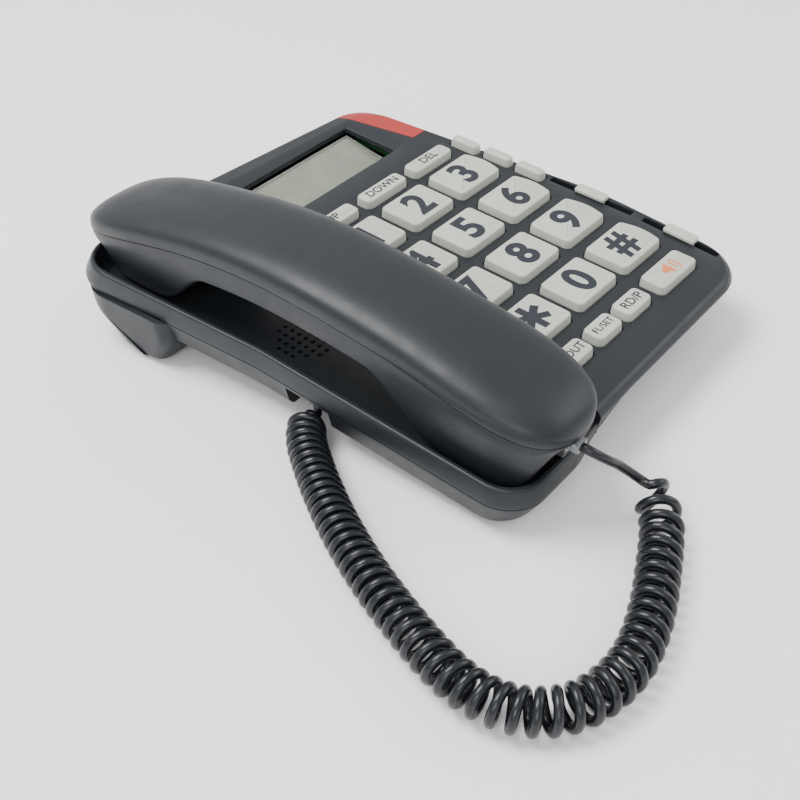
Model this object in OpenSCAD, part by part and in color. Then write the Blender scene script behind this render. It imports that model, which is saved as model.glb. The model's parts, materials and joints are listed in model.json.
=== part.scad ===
// Corded desk telephone with large keys, display, handset and curly cord.
// Frame: +X to the user's right, +Y away from the user, +Z up, standing on z = 0.
// Most parts are drawn on the key face (x, y in it, z = 0 on it), which is then tilted and raised.

/* [Base] */
// Width of the base at its widest
base_w = 154; // [150:1:190]
// Depth of the base, front to back
base_d = 198; // [194:1:240]
// Tilt of the key face, back edge up
face_tilt = 4; // [2:0.5:6]
// Height of the key face over the table, at the middle of the base
face_h = 31; // [30:0.5:36]
// Wall of the shells
wall = 2.2; // [1.8:0.1:2.7]
// Depth of the parting line under the key face, along the cradle
split_z = 12.7; // [12:0.1:14]
// Depth of the floor of the base under the key face
floor_z = 23.5; // [23:0.1:25]
// Outward sweep of the left side towards the back
sweep = 5; // [0:0.5:8]

/* [Cradle and handset] */
// Width of the handset
hand_w = 38.5; // [36:0.5:46.5]
// Length of the handset past the ends of the base, both ends together
hand_over = 6; // [2:1:10]
// Gap between the handset and the cradle's sides
cradle_gap = 0.8; // [0.5:0.1:1.5]
// Depth of the cradle floor under the key face
cradle_z = 13.5; // [12:0.1:14]
// Height of the handset's grip over the key face, at its parting line
grip_z = 20; // [17:0.5:24]
// Wall of the handset shells
hand_wall = 2.0; // [1.6:0.1:2.4]

/* [Keys] */
// Width of a dial key
key_w = 22.6; // [18.8:0.1:24]
// Depth of a dial key, front to back
key_d = 17.8; // [14.8:0.1:20]
// Height of the keys over the key face
key_h = 3; // [2:0.1:4]
// Distance between key columns
pitch_x = 27; // [26:0.1:28]
// Distance between key rows
pitch_y = 23.6; // [23:0.1:24.5]
// Gap round each key in its hole
key_gap = 0.35; // [0.25:0.05:0.5]
// Travel of a key
key_travel = 1.5; // [0.8:0.1:1.6]

/* [Display] */
// Width of the display recess
lcd_w = 66; // [55:1:68]
// Depth of the display recess, front to back
lcd_d = 26; // [20:1:28]

/* [Cord] */
// Diameter of the cord's wire
cord_d = 3.0; // [2.6:0.1:3.4]
// Outer diameter of the curly part
coil_d = 13.5; // [12:0.1:14]

/* [Hidden] */
$fn = 48;

// the middle of the finished phone's box, cord left out, is moved to x = 0, y = 0
centre = [-0.58, 1.34, 0];

slate = "#464b50";
keys_grey = "#bec3b9";
eps = 0.01;
arc_n = 4;                     // segments in each rounded corner of an outline
hx = base_w / 2;
hy = base_d / 2;
left_x = -hx + 3 + sweep;      // left side of the base along its front half

// ---- outline helpers ----
function backwards(v) = [for (i = [len(v) - 1 : -1 : 0]) v[i]];
function unit(v) = v / norm(v);
function turn_of(u, v) = atan2(u[0] * v[1] - u[1] * v[0], u * v);
// one corner of an outline as arc_n + 1 points: c is [x, y, radius], a and b its neighbours
function corner_arc(a, c, b) =
    let (p = [c[0], c[1]], u = unit(p - [a[0], a[1]]), v = unit([b[0], b[1]] - p),
         turn = turn_of(u, v), side = sign(turn), r = c[2],
         start = p - u * r * tan(abs(turn) / 2), n = side * [-u[1], u[0]])
    [for (i = [0 : arc_n]) let (t = abs(turn) * i / arc_n) start + u * r * sin(t) + n * r * (1 - cos(t))];
function outline(cs) =
    [for (i = [0 : len(cs) - 1])
        each corner_arc(cs[(i + len(cs) - 1) % len(cs)], cs[i], cs[(i + 1) % len(cs)])];
// the same corners with every side moved inwards by d (outwards when d is negative)
function inset(cs, d) =
    [for (i = [0 : len(cs) - 1])
        let (a = cs[(i + len(cs) - 1) % len(cs)], c = cs[i], b = cs[(i + 1) % len(cs)],
             u = unit([c[0] - a[0], c[1] - a[1]]), v = unit([b[0] - c[0], b[1] - c[1]]),
             m = [-u[1], u[0]], n = [-v[1], v[0]], bend = sign(turn_of(u, v)),
             q = [c[0], c[1]] + d * (m + n) / (1 + m * n))
        [q[0], q[1], max(0.4, c[2] - bend * d)]];

// a flat ring of n points, the first of them number o, as strips across it
function strips(n, o) =
    [for (i = [0 : floor((n - 1) / 2) - 1])
        [for (j = n - 2 - i == i + 1 ? [i, i + 1, n - 1 - i] : [i, i + 1, n - 2 - i, n - 1 - i]) o + j]];
// solid through rings of equal point counts, lowest ring first: rings is a list of 3-D point lists
module loft(rings) {
    n = len(rings[0]);
    k = len(rings);
    side = [for (j = [0 : k - 2]) for (i = [0 : n - 1])
        each [[j * n + i, (j + 1) * n + i, j * n + (i + 1) % n],
              [(j + 1) * n + i, (j + 1) * n + (i + 1) % n, j * n + (i + 1) % n]]];
    bottom = strips(n, 0);
    top = [for (f = strips(n, (k - 1) * n)) backwards(f)];
    polyhedron(points = [for (r = rings) each r], faces = concat(side, bottom, top), convexity = 6);
}
function ring(z, cs) = [for (p = outline(cs)) [p[0], p[1], z]];

module on_face() translate([0, 0, face_h]) rotate([face_tilt, 0, 0]) children();
function to_room(p) =
    [p[0], p[1] * cos(face_tilt) - p[2] * sin(face_tilt),
     face_h + p[1] * sin(face_tilt) + p[2] * cos(face_tilt)];

// ---- the base's outer shape, as corner lists [x, y, radius] at a few depths under the face ----
// listed from the front left corner round the back to the two front bends
face_edge = backwards([
    [left_x + 2.6, -hy + 4.4, 12], [left_x + 2.6, 8, 120], [-hx + 4.2, hy - 14.5, 13],
    [hx - 11.8, hy - 21.5, 13], [hx - 1.4, -30, 150], [hx - 6, -hy + 7.6, 18],
    [-8, -hy + 5.2, 40], [-36, -hy + 4.6, 60]]);
rim_edge = backwards([
    [left_x + 0.6, -hy + 1.2, 13], [left_x + 0.6, 8, 120], [-hx + 1.2, hy - 4, 16],
    [hx - 10.4, hy - 15, 15], [hx + 0.9, -30, 150], [hx - 3.6, -hy + 4.6, 20],
    [-8, -hy + 2.6, 40], [-36, -hy + 1.6, 60]]);
split_edge = backwards([
    [left_x, -hy, 14], [left_x, 8, 120], [-hx - 0.2, hy, 16],
    [hx - 12, hy - 3, 18], [hx - 3, -30, 150], [hx - 9, -hy + 13, 20],
    [-8, -hy + 12, 40], [-34, -hy + 0.6, 30]]);
foot_edge = backwards([
    [left_x + 2, -hy + 4, 12], [left_x + 2, 8, 120], [-hx + 3.4, hy - 5, 14],
    [hx - 20, hy - 7, 16], [hx - 12, -30, 150], [hx - 19, -hy + 27, 18],
    [-8, -hy + 22, 40], [-34, -hy + 7, 30]]);
rim_z = 3;                     // depth of the widest line of the key plate
bevel_z = 1;
foot_round = 2;

module envelope() {
    loft([
        ring(-floor_z, inset(foot_edge, foot_round)),
        ring(-floor_z + foot_round, foot_edge),
        ring(-split_z, split_edge),
        ring(-rim_z, rim_edge),
        ring(-bevel_z, inset(rim_edge, 1.4)),
        ring(0, face_edge)]);
}
// the room inside the shells
module hollow(d) {
    loft([
        ring(-floor_z + d, inset(foot_edge, foot_round + d)),
        ring(-floor_z + foot_round + d, inset(foot_edge, d)),
        ring(-split_z, inset(split_edge, d)),
        ring(-rim_z, inset(rim_edge, d)),
        ring(-d, inset(rim_edge, d + 1))]);
}

// ---- the raised foot under the back of the base, in the room frame ----
foot_lift = 1.2;
hump_y = hy - 51;
hump_top = face_h - split_z + (hy - 20) * sin(face_tilt) - 2;
hump_plan = backwards([
    [-hx + 1.2, hump_y, 6], [-hx + 0.2, hy - 20, 60], [-hx + 0.2, hy - 1.2, 17],
    [hx - 17, hy - 4, 17], [hx - 16, hump_y, 8]]);
hump_low = backwards([
    [-hx + 3, hump_y + 7, 6], [-hx + 2.6, hy - 30, 60], [-hx + 4.5, hy - 12, 26],
    [hx - 24, hy - 12, 22], [hx - 22, hump_y + 7, 8]]);
module hump(d) {
    difference() {
        loft([
            ring(foot_lift + d - 1, inset(hump_low, 2.5 + d)),
            ring(foot_lift + 1.5 + d * 0.5, inset(hump_low, d)),
            ring(12, inset(hump_plan, 1.2 + d)),
            ring(hump_top, inset(hump_plan, 0.6 + d))]);
        translate([-base_w, 0, foot_lift + d - 5]) cube([2 * base_w, base_d, 5]);
    }
}

// region over the parting line: the line runs low along the cradle and just under the rim elsewhere
split_step = 24;               // from here to the right the parting line is just under the rim
step_x = left_x + 32;
module over_split(gap) {
    big = base_d;
    rotate([90, 0, 0]) translate([0, 0, -big]) linear_extrude(2 * big)
        polygon([[-big, -split_z + gap], [step_x, -split_z + gap],
                 [step_x + split_step, -rim_z - 1 + gap], [big, -rim_z - 1 + gap],
                 [big, big], [-big, big]]);
}

// ---- cradle ----
hand_x = left_x + 2.4 + cradle_gap + hand_w / 2;          // middle of the handset, front half
hand_shift = 3;                              // how far the handset's back end stands to the left
cradle_r = hand_x + hand_w / 2 + 1.8 + cradle_gap;       // right edge of the cradle in the key face
cradle_out = 2.7;                            // thickness of the lip at its top
lip_z = 5.2;
lip_cut = [
    [-hx - 9, -hy - 9, 1], [cradle_r - 0.3, -hy - 9, 1], [cradle_r - 0.3, hy + 9, 1], [-hx - 9, hy + 9, 1]];
trough_top = [
    [left_x + cradle_out, -hy + 3.6, 11], [cradle_r - 0.6, -hy + 3.6, 8],
    [cradle_r - 0.6, hy - 7, 10], [-hx + cradle_out + 1.2, hy - 6, 12],
    [left_x + cradle_out, 8, 120]];
trough_low = [
    [left_x + cradle_out + 1.6, -hy + 5, 11.5], [cradle_r - 2.4, -hy + 5, 5],
    [cradle_r - 2.4, hy - 8.6, 6], [-hx + cradle_out + 2.6, hy - 8, 11],
    [left_x + cradle_out + 1.6, 8, 120]];
module trough(d) {
    loft([
        ring(-cradle_z - d, inset(trough_low, 1.2 - d)),
        ring(-cradle_z + 1.2 - d, inset(trough_low, -d)),
        ring(-lip_z + eps, inset(trough_top, -d)),
        ring(eps * 2, inset(trough_top, -d))]);
}
module lip_space() translate([0, 0, -lip_z]) linear_extrude(20) polygon(outline(lip_cut));

// ---- keys: [x, y, width, depth, bulge of the left side, bulge of the right side] ----
grid_x = hx - 55;
grid_y = -hy + 42.8;
side_bulge = 1.6;
dial = [for (r = [0 : 3]) for (c = [0 : 2])
    [grid_x + (c - 1) * pitch_x, grid_y + (3 - r) * pitch_y, key_w, key_d,
     c == 0 ? side_bulge : 0, c == 2 ? side_bulge : 0]];
top_y = grid_y + 3 * pitch_y + key_d / 2 + 8.4;
row_d = 7.4;
low_y = grid_y - key_d / 2 - 10.8;
low_d = 8.4;
mem_x = hx - 8.6;
function pad_key(x, y, w, d) = [x, y, w, d, 0, 0];
key_up_at = pad_key(grid_x - pitch_x, top_y, key_w, row_d);
key_down_at = pad_key(grid_x, top_y, key_w, row_d);
key_delete_at = pad_key(grid_x + pitch_x, top_y, key_w, row_d);
key_out_at = pad_key(grid_x - pitch_x - 4.6, low_y, 12.6, low_d);
key_flash_at = pad_key(grid_x - pitch_x + 11.8, low_y, 13.6, low_d);
key_redial_at = pad_key(grid_x + 2, low_y, 14.6, low_d);
key_speaker_at = pad_key(grid_x + pitch_x - 1.4, low_y, 22.6, low_d + 2);
mem_keys = [for (i = [0 : 2]) pad_key(mem_x + (i > 0 ? 1 : 0), hy - 70.6 - 15.2 * i, 4.8, 12.6)];
all_keys = concat(dial, [key_up_at, key_down_at, key_delete_at, key_out_at, key_flash_at,
    key_redial_at, key_speaker_at], mem_keys);
key_round = 2.2;

// outline of one key: straight front and back, sides bulged where the key asks for it
function key_outline(k, grow) =
    let (w = k[2] / 2 + grow, d = k[3] / 2 + grow, r = min(key_round + grow, k[2] / 3),
         l = k[4], b = k[5],
         base = [[-w - l * 0.4, -d, r], [w + b * 0.4, -d, r], [w + b * 1.7, 0, 20],
                 [w + b * 0.4, d, r], [-w - l * 0.4, d, r], [-w - l * 1.7, 0, 20]],
         plain = [[-w, -d, r], [w, -d, r], [w, d, r], [-w, d, r]])
    outline(l + b > 0 ? [for (i = [0 : 5]) if ((i != 2 || b > 0) && (i != 5 || l > 0)) base[i]] : plain);

flange_z = wall + 0.4;
flange_t = 0.8;
// the lower part of a key; a narrow key at the base's edge stops short of the side wall
module key_foot(k, grow) {
    edge = k[2] < 6 ? k[2] / 2 - 2.1 : k[2] / 2 + 5;
    intersection() {
        polygon(key_outline(k, grow));
        translate([edge - 40, -20]) square([40, 40]);
    }
}
module key(k) {
    color(keys_grey) on_face() translate([k[0], k[1], 0]) {
        translate([0, 0, -1.6]) linear_extrude(1.6 + key_h - 0.5) polygon(key_outline(k, 0));
        translate([0, 0, key_h - 0.5]) linear_extrude(0.5) polygon(key_outline(k, -0.4));
        translate([0, 0, -flange_z - 0.1]) linear_extrude(flange_z - 1.4) key_foot(k, 0);
        translate([0, 0, -flange_z - flange_t]) linear_extrude(flange_t) key_foot(k, 0.9);
    }
}

// ---- slide switches at the right edge ----
slide_x = hx - 5.4;
slide_y = [-28.5, -hy + 31.5];               // middle of each slot
slot_l = [36, 32];
slot_w = 3;
knob_l = 13;
knob_gap = 0.3;
slide_turn = [0, 3.5];                       // the front slot follows the bowed edge
slide_dx = [0, -1.4];
module at_slide(i) translate([slide_x + slide_dx[i], slide_y[i], 0]) rotate([0, 0, -slide_turn[i]]) children();
module slide_knob(i) {
    color(keys_grey) on_face() at_slide(i) {
        stem = slot_w - 2 * knob_gap;
        translate([-stem / 2, -knob_l / 2 + 1, -3.1]) cube([stem, knob_l - 2, 3.1 + key_h - 1]);
        translate([-2.1, -knob_l / 2, 0.3]) cube([4.2, knob_l, key_h - 1.1]);
    }
}

// ---- display ----
lcd_cx = hx - 28.5 - lcd_w / 2;
lcd_cy = hy - 37.5;
lcd_z = 6;                                   // depth of the window's middle under the face
lcd_lean = 8;                                // the window leans towards the user
lcd_win_t = 1.2;
module at_display() translate([lcd_cx, lcd_cy, -lcd_z]) rotate([lcd_lean, 0, 0]) children();
module display_recess() {
    translate([lcd_cx - lcd_w / 2, lcd_cy - lcd_d / 2, -lcd_z - 4]) cube([lcd_w, lcd_d, lcd_z + 5]);
}

// ---- screws and posts ----
screw_r = 1.1;
post_r = 2.2;
base_posts = [[cradle_r + 3.2, -hy + 30], [cradle_r + 3.2, hy - 15.5], [hx - 20, hy - 56.7],
    [grid_x + 11.4, grid_y - key_d / 2 - 3.3]];
board_posts = [[grid_x - pitch_x / 2, grid_y + pitch_y / 2], [grid_x + pitch_x / 2, grid_y + pitch_y / 2],
    [grid_x - pitch_x / 2, grid_y + 2.5 * pitch_y], [grid_x + pitch_x / 2, grid_y + 2.5 * pitch_y]];
board_z = 7.6;
board_t = 1.6;

// ---- loudspeaker under the cradle ----
spk = [hand_x, 7];
spk_r = 12;
spk_t = 4.4;

// ---- hook ----
hook = [hand_x - 1, hy - 37];
hook_r = 3.6;
hook_gap = 0.4;

// ---- jacks ----
cord_y = hy / 99;                            // the cord's places along y follow the base's depth
jack_y = -12 * cord_y;                       // cord jack in the left side of the base
notch_y = -14 * cord_y;
notch_w = 19;
notch_d = 12;                                // depth of the notch that the plug stands in
notch_z = cradle_z + 1;                      // open up to the underside of the cradle
jack_x = left_x + notch_d;
jack_len = 13;
jack_cz = -19.4;                             // height of the plug's axis on the key face
plug_w = 7.7;
plug_t = 4.4;
plug_len = 12;
line_x = -38;                                // line jack at the back, in the room frame
line_z = 13.5;
line_w = 10;
line_h = 7;

// ---- battery bay in the raised foot ----
bay_x = 14;
bay_w = 46;
bay_d = 28;
bay_y = hump_y + 8 + bay_d / 2;
bay_h = 14;
door_t = 1.8;
door_gap = 0.3;

// =====================================================================
module base_top_shell() {
    color(slate) on_face() difference() {
        intersection() {
            envelope();
            union() {
                over_split(0);
                trough(wall);
            }
        }
        difference() {
            hollow(wall);
            trough(wall);
            display_frame();
            for (p = base_posts) translate([p[0], p[1], -split_z]) cylinder(h = split_z, r = post_r, $fn = 20);
            for (p = board_posts) translate([p[0], p[1], -board_z]) cylinder(h = board_z, r = 2.6, $fn = 20);
        }
        trough(0);
        lip_space();
        display_recess();
        for (k = all_keys) translate([k[0], k[1], -wall - 1]) linear_extrude(wall + 2)
            polygon(key_outline(k, key_gap));
        for (i = [0, 1]) at_slide(i) translate([-slot_w / 2, -slot_l[i] / 2, -wall - 1])
            cube([slot_w, slot_l[i], wall + 2]);
        for (p = base_posts) translate([p[0], p[1], -split_z - 1]) cylinder(h = split_z - 2, r = screw_r, $fn = 16);
        for (p = board_posts) translate([p[0], p[1], -board_z - 1]) cylinder(h = 6, r = 1, $fn = 12);
        speaker_holes();
        translate([hook[0], hook[1], -cradle_z - wall - 1]) cylinder(h = wall + 3, r = hook_r + hook_gap, $fn = 24);
        lamp_seat(0.15);
    }
}
module display_frame() {
    translate([lcd_cx - lcd_w / 2 - 1.6, lcd_cy - lcd_d / 2 - 1.6, -lcd_z - 3])
        cube([lcd_w + 3.2, lcd_d + 3.2, lcd_z + 3 - wall + 0.5]);
}
module speaker_holes() {
    for (i = [-3 : 3]) for (j = [-3 : 3]) if (i * i + j * j <= 10)
        translate([spk[0] + i * 3.2, spk[1] + j * 3.2, -cradle_z - wall - 1]) cylinder(h = wall + 2, r = 0.8, $fn = 6);
}

// red lamp strip along the back of the right side
lamp_in = [[hx - 23, hy - 18], [hx - 16.6, hy - 50.1]];
lamp_out = [[hx - 7, hy - 10], [hx - 1.5, hy - 50.6]];
module lamp_area(g) {
    polygon([lamp_in[1] + [-g, -g], lamp_out[1] + [20, -g], lamp_out[0] + [20, 20], lamp_in[0] + [-4 - g, 20]]);
}
module lamp_seat(g) {
    translate([0, 0, -rim_z - 0.6 - g]) linear_extrude(rim_z + 2) lamp_area(g);
}
module lamp_lens() {
    color("#c05048", 0.85) on_face() difference() {
        intersection() {
            envelope();
            lamp_seat(0);
        }
        hollow(1.6);
    }
}
module lamp_leds() {
    color("#d8504a") on_face() for (t = [0.3, 0.7]) {
        p = lamp_in[0] * (1 - t) + lamp_in[1] * t + [3.5, 0];
        translate([p[0], p[1], -board_z + 0.05]) {
            cylinder(h = 2.6, r = 1.5, $fn = 24);
            translate([0, 0, 2.6]) sphere(r = 1.5, $fn = 24);
        }
    }
}

module base_bottom_shell() {
    gap = 0.25;
    color(slate) difference() {
        union() {
            on_face() envelope();
            hump(0);
        }
        on_face() over_split(-gap);
        on_face() trough(wall + gap);
        difference() {
            union() {
                on_face() hollow(wall);
                hump(wall);
            }
            on_face() notch_walls(wall);
            on_face() for (p = base_posts) translate([p[0], p[1], -floor_z - 20])
                cylinder(h = floor_z + 19.7 - split_z, r = post_r + 1.2, $fn = 20);
            bay_walls();
            line_box(1.6);
        }
        on_face() notch_walls(0);
        on_face() for (p = base_posts) {
            translate([p[0], p[1], -floor_z - 22]) cylinder(h = 60, r = screw_r + 0.2, $fn = 16);
            translate([p[0], p[1], -floor_z - 22]) cylinder(h = 22 + 4.5, r = 2.4, $fn = 20);
        }
        on_face() translate([jack_x - 1, jack_y - jack_in_w / 2, jack_cz - jack_in_h / 2])
            cube([jack_len + 4, jack_in_w, jack_in_h]);
        line_box(0);
        bay_space();
        keyhole(-38);
    }
}
jack_in_w = 11;
jack_in_h = 5.6;
// notch under the left edge where the curly cord goes in; open to the left and downwards
module notch_walls(g) {
    x0 = g > 0 ? left_x + 3 : left_x - 6;
    low = -floor_z - (g > 0 ? 0 : 3);
    top = g > 0 ? -cradle_z - 2.9 : -notch_z;
    translate([x0, notch_y - notch_w / 2 - g, low]) cube([jack_x - x0 + g, notch_w + 2 * g, top - low]);
}
module line_box(g) {
    translate([line_x - line_w / 2 - g, hy - 24, line_z - line_h / 2 - g])
        cube([line_w + 2 * g, g > 0 ? 20 : 40, line_h + 2 * g]);
}
module bay_walls() {
    translate([bay_x - bay_w / 2 - 1.6, bay_y - bay_d / 2 - 1.6, foot_lift + 0.5])
        cube([bay_w + 3.2, bay_d + 3.2, bay_h + 1.6]);
}
module bay_space() {
    translate([bay_x - bay_w / 2, bay_y - bay_d / 2, -1]) cube([bay_w, bay_d, bay_h + 1 + foot_lift]);
}
// keyhole slot for hanging the base on a wall screw
module keyhole(y) {
    on_face() translate([-2, y, -floor_z - 22]) {
        cylinder(h = 22 + wall + 1.6, r = 4.2, $fn = 24);
        translate([-2.1, 0, 0]) cube([4.2, 9, 22 + wall + 1.6]);
        translate([0, 9, 0]) cylinder(h = 22 + wall + 1.6, r = 2.1, $fn = 16);
    }
}

module rubber_feet() {
    front = 5.2;
    color("#2a2c2e") {
        for (p = [[left_x + 14, -hy + 22], [hx - 30, -hy + 40]]) {
            top = to_room([p[0], p[1], -floor_z])[2];
            difference() {
                translate([p[0], p[1], 0]) cylinder(h = top + 1, r = front);
                on_face() translate([p[0] - 20, p[1] - 20, -floor_z]) cube([40, 40, 10]);
            }
        }
        for (x = [-hx + 18, hx - 31]) translate([x, hy - 26, 0]) cylinder(h = foot_lift, r = 5);
    }
}

module display_window() {
    color("#a9b09a", 0.45) on_face() at_display()
        translate([-lcd_w / 2 + 0.3, -lcd_d / 2 + 0.5, 0]) cube([lcd_w - 0.6, lcd_d - 1, lcd_win_t]);
}
module display_panel() {
    color("#939b84") on_face() at_display()
        translate([-lcd_w / 2 + 1, -lcd_d / 2 + 1.4, -2]) cube([lcd_w - 2, lcd_d - 2.8, 1.9]);
}
module display_holder() {
    color("#3a3d40") on_face() difference() {
        translate([lcd_cx - lcd_w / 2 - 4, lcd_cy - lcd_d / 2 - 4, -lcd_z - 6.2]) cube([lcd_w + 8, lcd_d + 8, 3]);
        translate([lcd_cx - lcd_w / 2 - 1.6, lcd_cy - lcd_d / 2 - 1.6, -lcd_z - 5])
            cube([lcd_w + 3.2, lcd_d + 3.2, 3]);
    }
}

board_edge = [
    [cradle_r + 2.2, -hy + 20, 3], [hx - 15, -hy + 20, 8], [hx - 9, -20, 40], [hx - 9, hy - 62, 3],
    [hx - 15, hy - 62, 3], [hx - 15, hy - 58, 3], [cradle_r + 2.2, hy - 58, 3]];
module main_board() {
    color("#3f6b45") on_face() difference() {
        union() {
            translate([0, 0, -board_z - board_t]) linear_extrude(board_t) polygon(outline(board_edge));
            translate([hx - 22.4, hy - 58.2, -board_z - board_t]) cube([8.6, 34, board_t]);
        }
        for (p = base_posts) translate([p[0], p[1], -board_z - board_t - 1]) cylinder(h = board_t + 2, r = post_r + 0.6);
        for (p = board_posts) translate([p[0], p[1], -board_z - board_t - 1]) cylinder(h = board_t + 2, r = 1.3);
    }
}
module keymat() {
    mat = 1;
    dome = board_z - key_travel - flange_z - flange_t - 0.2;
    color("#c9ccc6") on_face() difference() {
        union() {
            translate([0, 0, -board_z + eps]) linear_extrude(mat)
                polygon(outline(inset(board_edge, 1)));
            for (k = all_keys) translate([k[0], k[1], -board_z + mat - 0.2])
                cylinder(h = dome - mat + 0.2, r = min(3, k[2] / 2 - 1.6), $fn = 24);
        }
        for (p = board_posts) translate([p[0], p[1], -board_z - 1]) cylinder(h = 4, r = 3.2);
        for (p = base_posts) translate([p[0], p[1], -board_z - 1]) cylinder(h = 4, r = post_r + 0.5);
    }
}
module slide_switches() {
    color("#3a3d40") on_face() intersection() {
        for (i = [0, 1]) at_slide(i) translate([-2.2, -slot_l[i] / 2 + 2, -6.6]) cube([4.4, slot_l[i] - 4, 1.9]);
        hollow(wall + 0.3);
    }
}

module hook_plunger() {
    color("#d5d6d0") on_face() translate([hook[0], hook[1], 0]) {
        translate([0, 0, -cradle_z - 3.4]) cylinder(h = 3.2, r = hook_r);
        translate([0, 0, -cradle_z - 6.4]) cylinder(h = 3.1, r = 1.8);
    }
}
module hook_switch() {
    color("#2f4f86") on_face() translate([hook[0] - 6, hook[1] - 6, -cradle_z - 14]) cube([12, 12, 7.2]);
}
module loudspeaker() {
    color("#77797b") on_face() translate([spk[0], spk[1], -cradle_z - wall - 0.1 - spk_t]) {
        translate([0, 0, spk_t - 1.2]) difference() {
            cylinder(h = 1.2, r = spk_r);
            translate([0, 0, 0.5]) cylinder(h = 1, r1 = spk_r - 6, r2 = spk_r - 2);
        }
        translate([0, 0, 1.4]) cylinder(h = spk_t - 2.5, r1 = 8, r2 = spk_r - 1);
        cylinder(h = 1.5, r = 8);
    }
}
module speaker_clamp() {
    z = -cradle_z - wall;
    color(slate) on_face() difference() {
        translate([spk[0], spk[1], z - 2.4]) cylinder(h = 2.35, r = spk_r + 2.4);
        translate([spk[0], spk[1], z - 1.45]) cylinder(h = 2, r = spk_r + 0.15);
        translate([spk[0], spk[1], z - 4]) cylinder(h = 4, r = spk_r - 0.9);
        translate([left_x, spk[1] - 40, z - 4]) cube([jack_x + 2.6 - left_x, 31, 5]);
        translate([left_x, spk[1] - 40, z - 4]) cube([80, 27, 5]);
    }
}

module base_cord_jack() {
    color("#1d1f21") on_face() translate([jack_x + 0.1, jack_y, jack_cz]) difference() {
        translate([0, -jack_in_w / 2 + 0.15, -jack_in_h / 2 + 0.15]) cube([jack_len, jack_in_w - 0.3, jack_in_h - 0.3]);
        translate([-1, -plug_w / 2 - 0.15, -plug_t / 2 - 0.15]) cube([plug_len - 0.4, plug_w + 0.3, plug_t + 0.3]);
    }
}
module line_jack() {
    color("#1d1f21") difference() {
        translate([line_x - line_w / 2 + 0.15, hy - 24, line_z - line_h / 2 + 0.15])
            cube([line_w - 0.3, 16, line_h - 0.3]);
        translate([line_x - 3.2, hy - 21, line_z - 2.3]) cube([6.4, 30, 4.6]);
    }
}
module battery_door() {
    g = door_gap;
    color(slate) difference() {
        union() {
            translate([bay_x - bay_w / 2 + g, bay_y - bay_d / 2 + g, foot_lift]) cube([bay_w - 2 * g, bay_d - 2 * g, door_t]);
            translate([bay_x - 4, bay_y + bay_d / 2 - 6, foot_lift]) cube([8, 1.2, door_t + 3]);
        }
        for (i = [0 : 3]) translate([bay_x - 8, bay_y - 10 + i * 3, foot_lift - 1]) cube([16, 1.2, 1.6]);
    }
}
module battery_contacts() {
    color("#c8ccd0") for (i = [0 : 2]) for (s = [-1, 1])
        translate([bay_x + (i - 1) * 13.5 - 4, bay_y + s * (bay_d / 2 - 0.4) - 0.3, foot_lift + door_t + 2]) cube([8, 0.6, 9]);
}
module base_screws() {
    color("#9a9c9e") on_face() for (p = base_posts) translate([p[0], p[1], -floor_z + 1.9]) {
        translate([0, 0, 2.5]) cylinder(h = 13, r = screw_r - 0.05);
        difference() {
            translate([0, 0, 0.6]) cylinder(h = 2, r = 2.2);
            translate([-1.3, -0.3, 0.5]) cube([2.6, 0.6, 1]);
            translate([-0.3, -1.3, 0.5]) cube([0.6, 2.6, 1]);
        }
    }
}
module board_screws() {
    color("#9a9c9e") on_face() for (p = board_posts) translate([p[0], p[1], -board_z - board_t - 1.4]) {
        cylinder(h = 1.4, r = 2.2);
        cylinder(h = 5.6, r = 0.95);
    }
}

// ---- handset: rings across its length, on the key face's frame ----
hand_l = base_d + hand_over;
hand_c = -1;                                 // middle of the handset, along the base
hl = hand_l / 2;
stations = [-0.998, -0.985, -0.955, -0.9, -0.82, -0.7, -0.62, -0.5, -0.35, -0.12,
    0.12, 0.35, 0.5, 0.62, 0.7, 0.8, 0.88, 0.94, 0.98, 0.998];
function smooth(t) = let (c = max(0, min(1, t))) c * c * (3 - 2 * c);
function hand_y(s) = hand_c + hl * s;
function mid_x(s) = hand_x - hand_shift * smooth((s - 0.05) / 0.95);
function part_z(s) = grip_z - (s > -0.1 ? 16.4 : 12.2) * pow(s + 0.1, 2);
function plan_f(s) = pow(1 - pow(abs(s), 10), 0.42);
function rise_f(s) = pow(1 - pow(abs(s), 14), 0.45);
function half_w(s) = (hand_w / 2 + 1.0 * smooth((abs(s) - 0.4) / 0.4)) * plan_f(s);
crown = 9;                                   // height of the upper shell over the parting line
band = 2.2;                                  // straight side of the upper shell over the parting line
under_n = 8;
// one ring of the upper shell: d is how far inside the outer surface it runs
function top_ring(s, d) =
    let (w = max(0.3, half_w(s) - d), h = max(0.3, crown * rise_f(s) - d), z = part_z(s),
         b = min(band, h * 0.5), y = hand_y(s), past = d > 0 ? 2 : 0)
    concat([[mid_x(s) + w, y, z - past]],
        [for (i = [0 : under_n]) let (a = 180 * i / under_n)
            [mid_x(s) + w * sign(cos(a)) * pow(abs(cos(a)), 0.75), y, z + b + (h - b) * pow(sin(a), 0.8)]],
        [[mid_x(s) - w, y, z - past]]);
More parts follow.
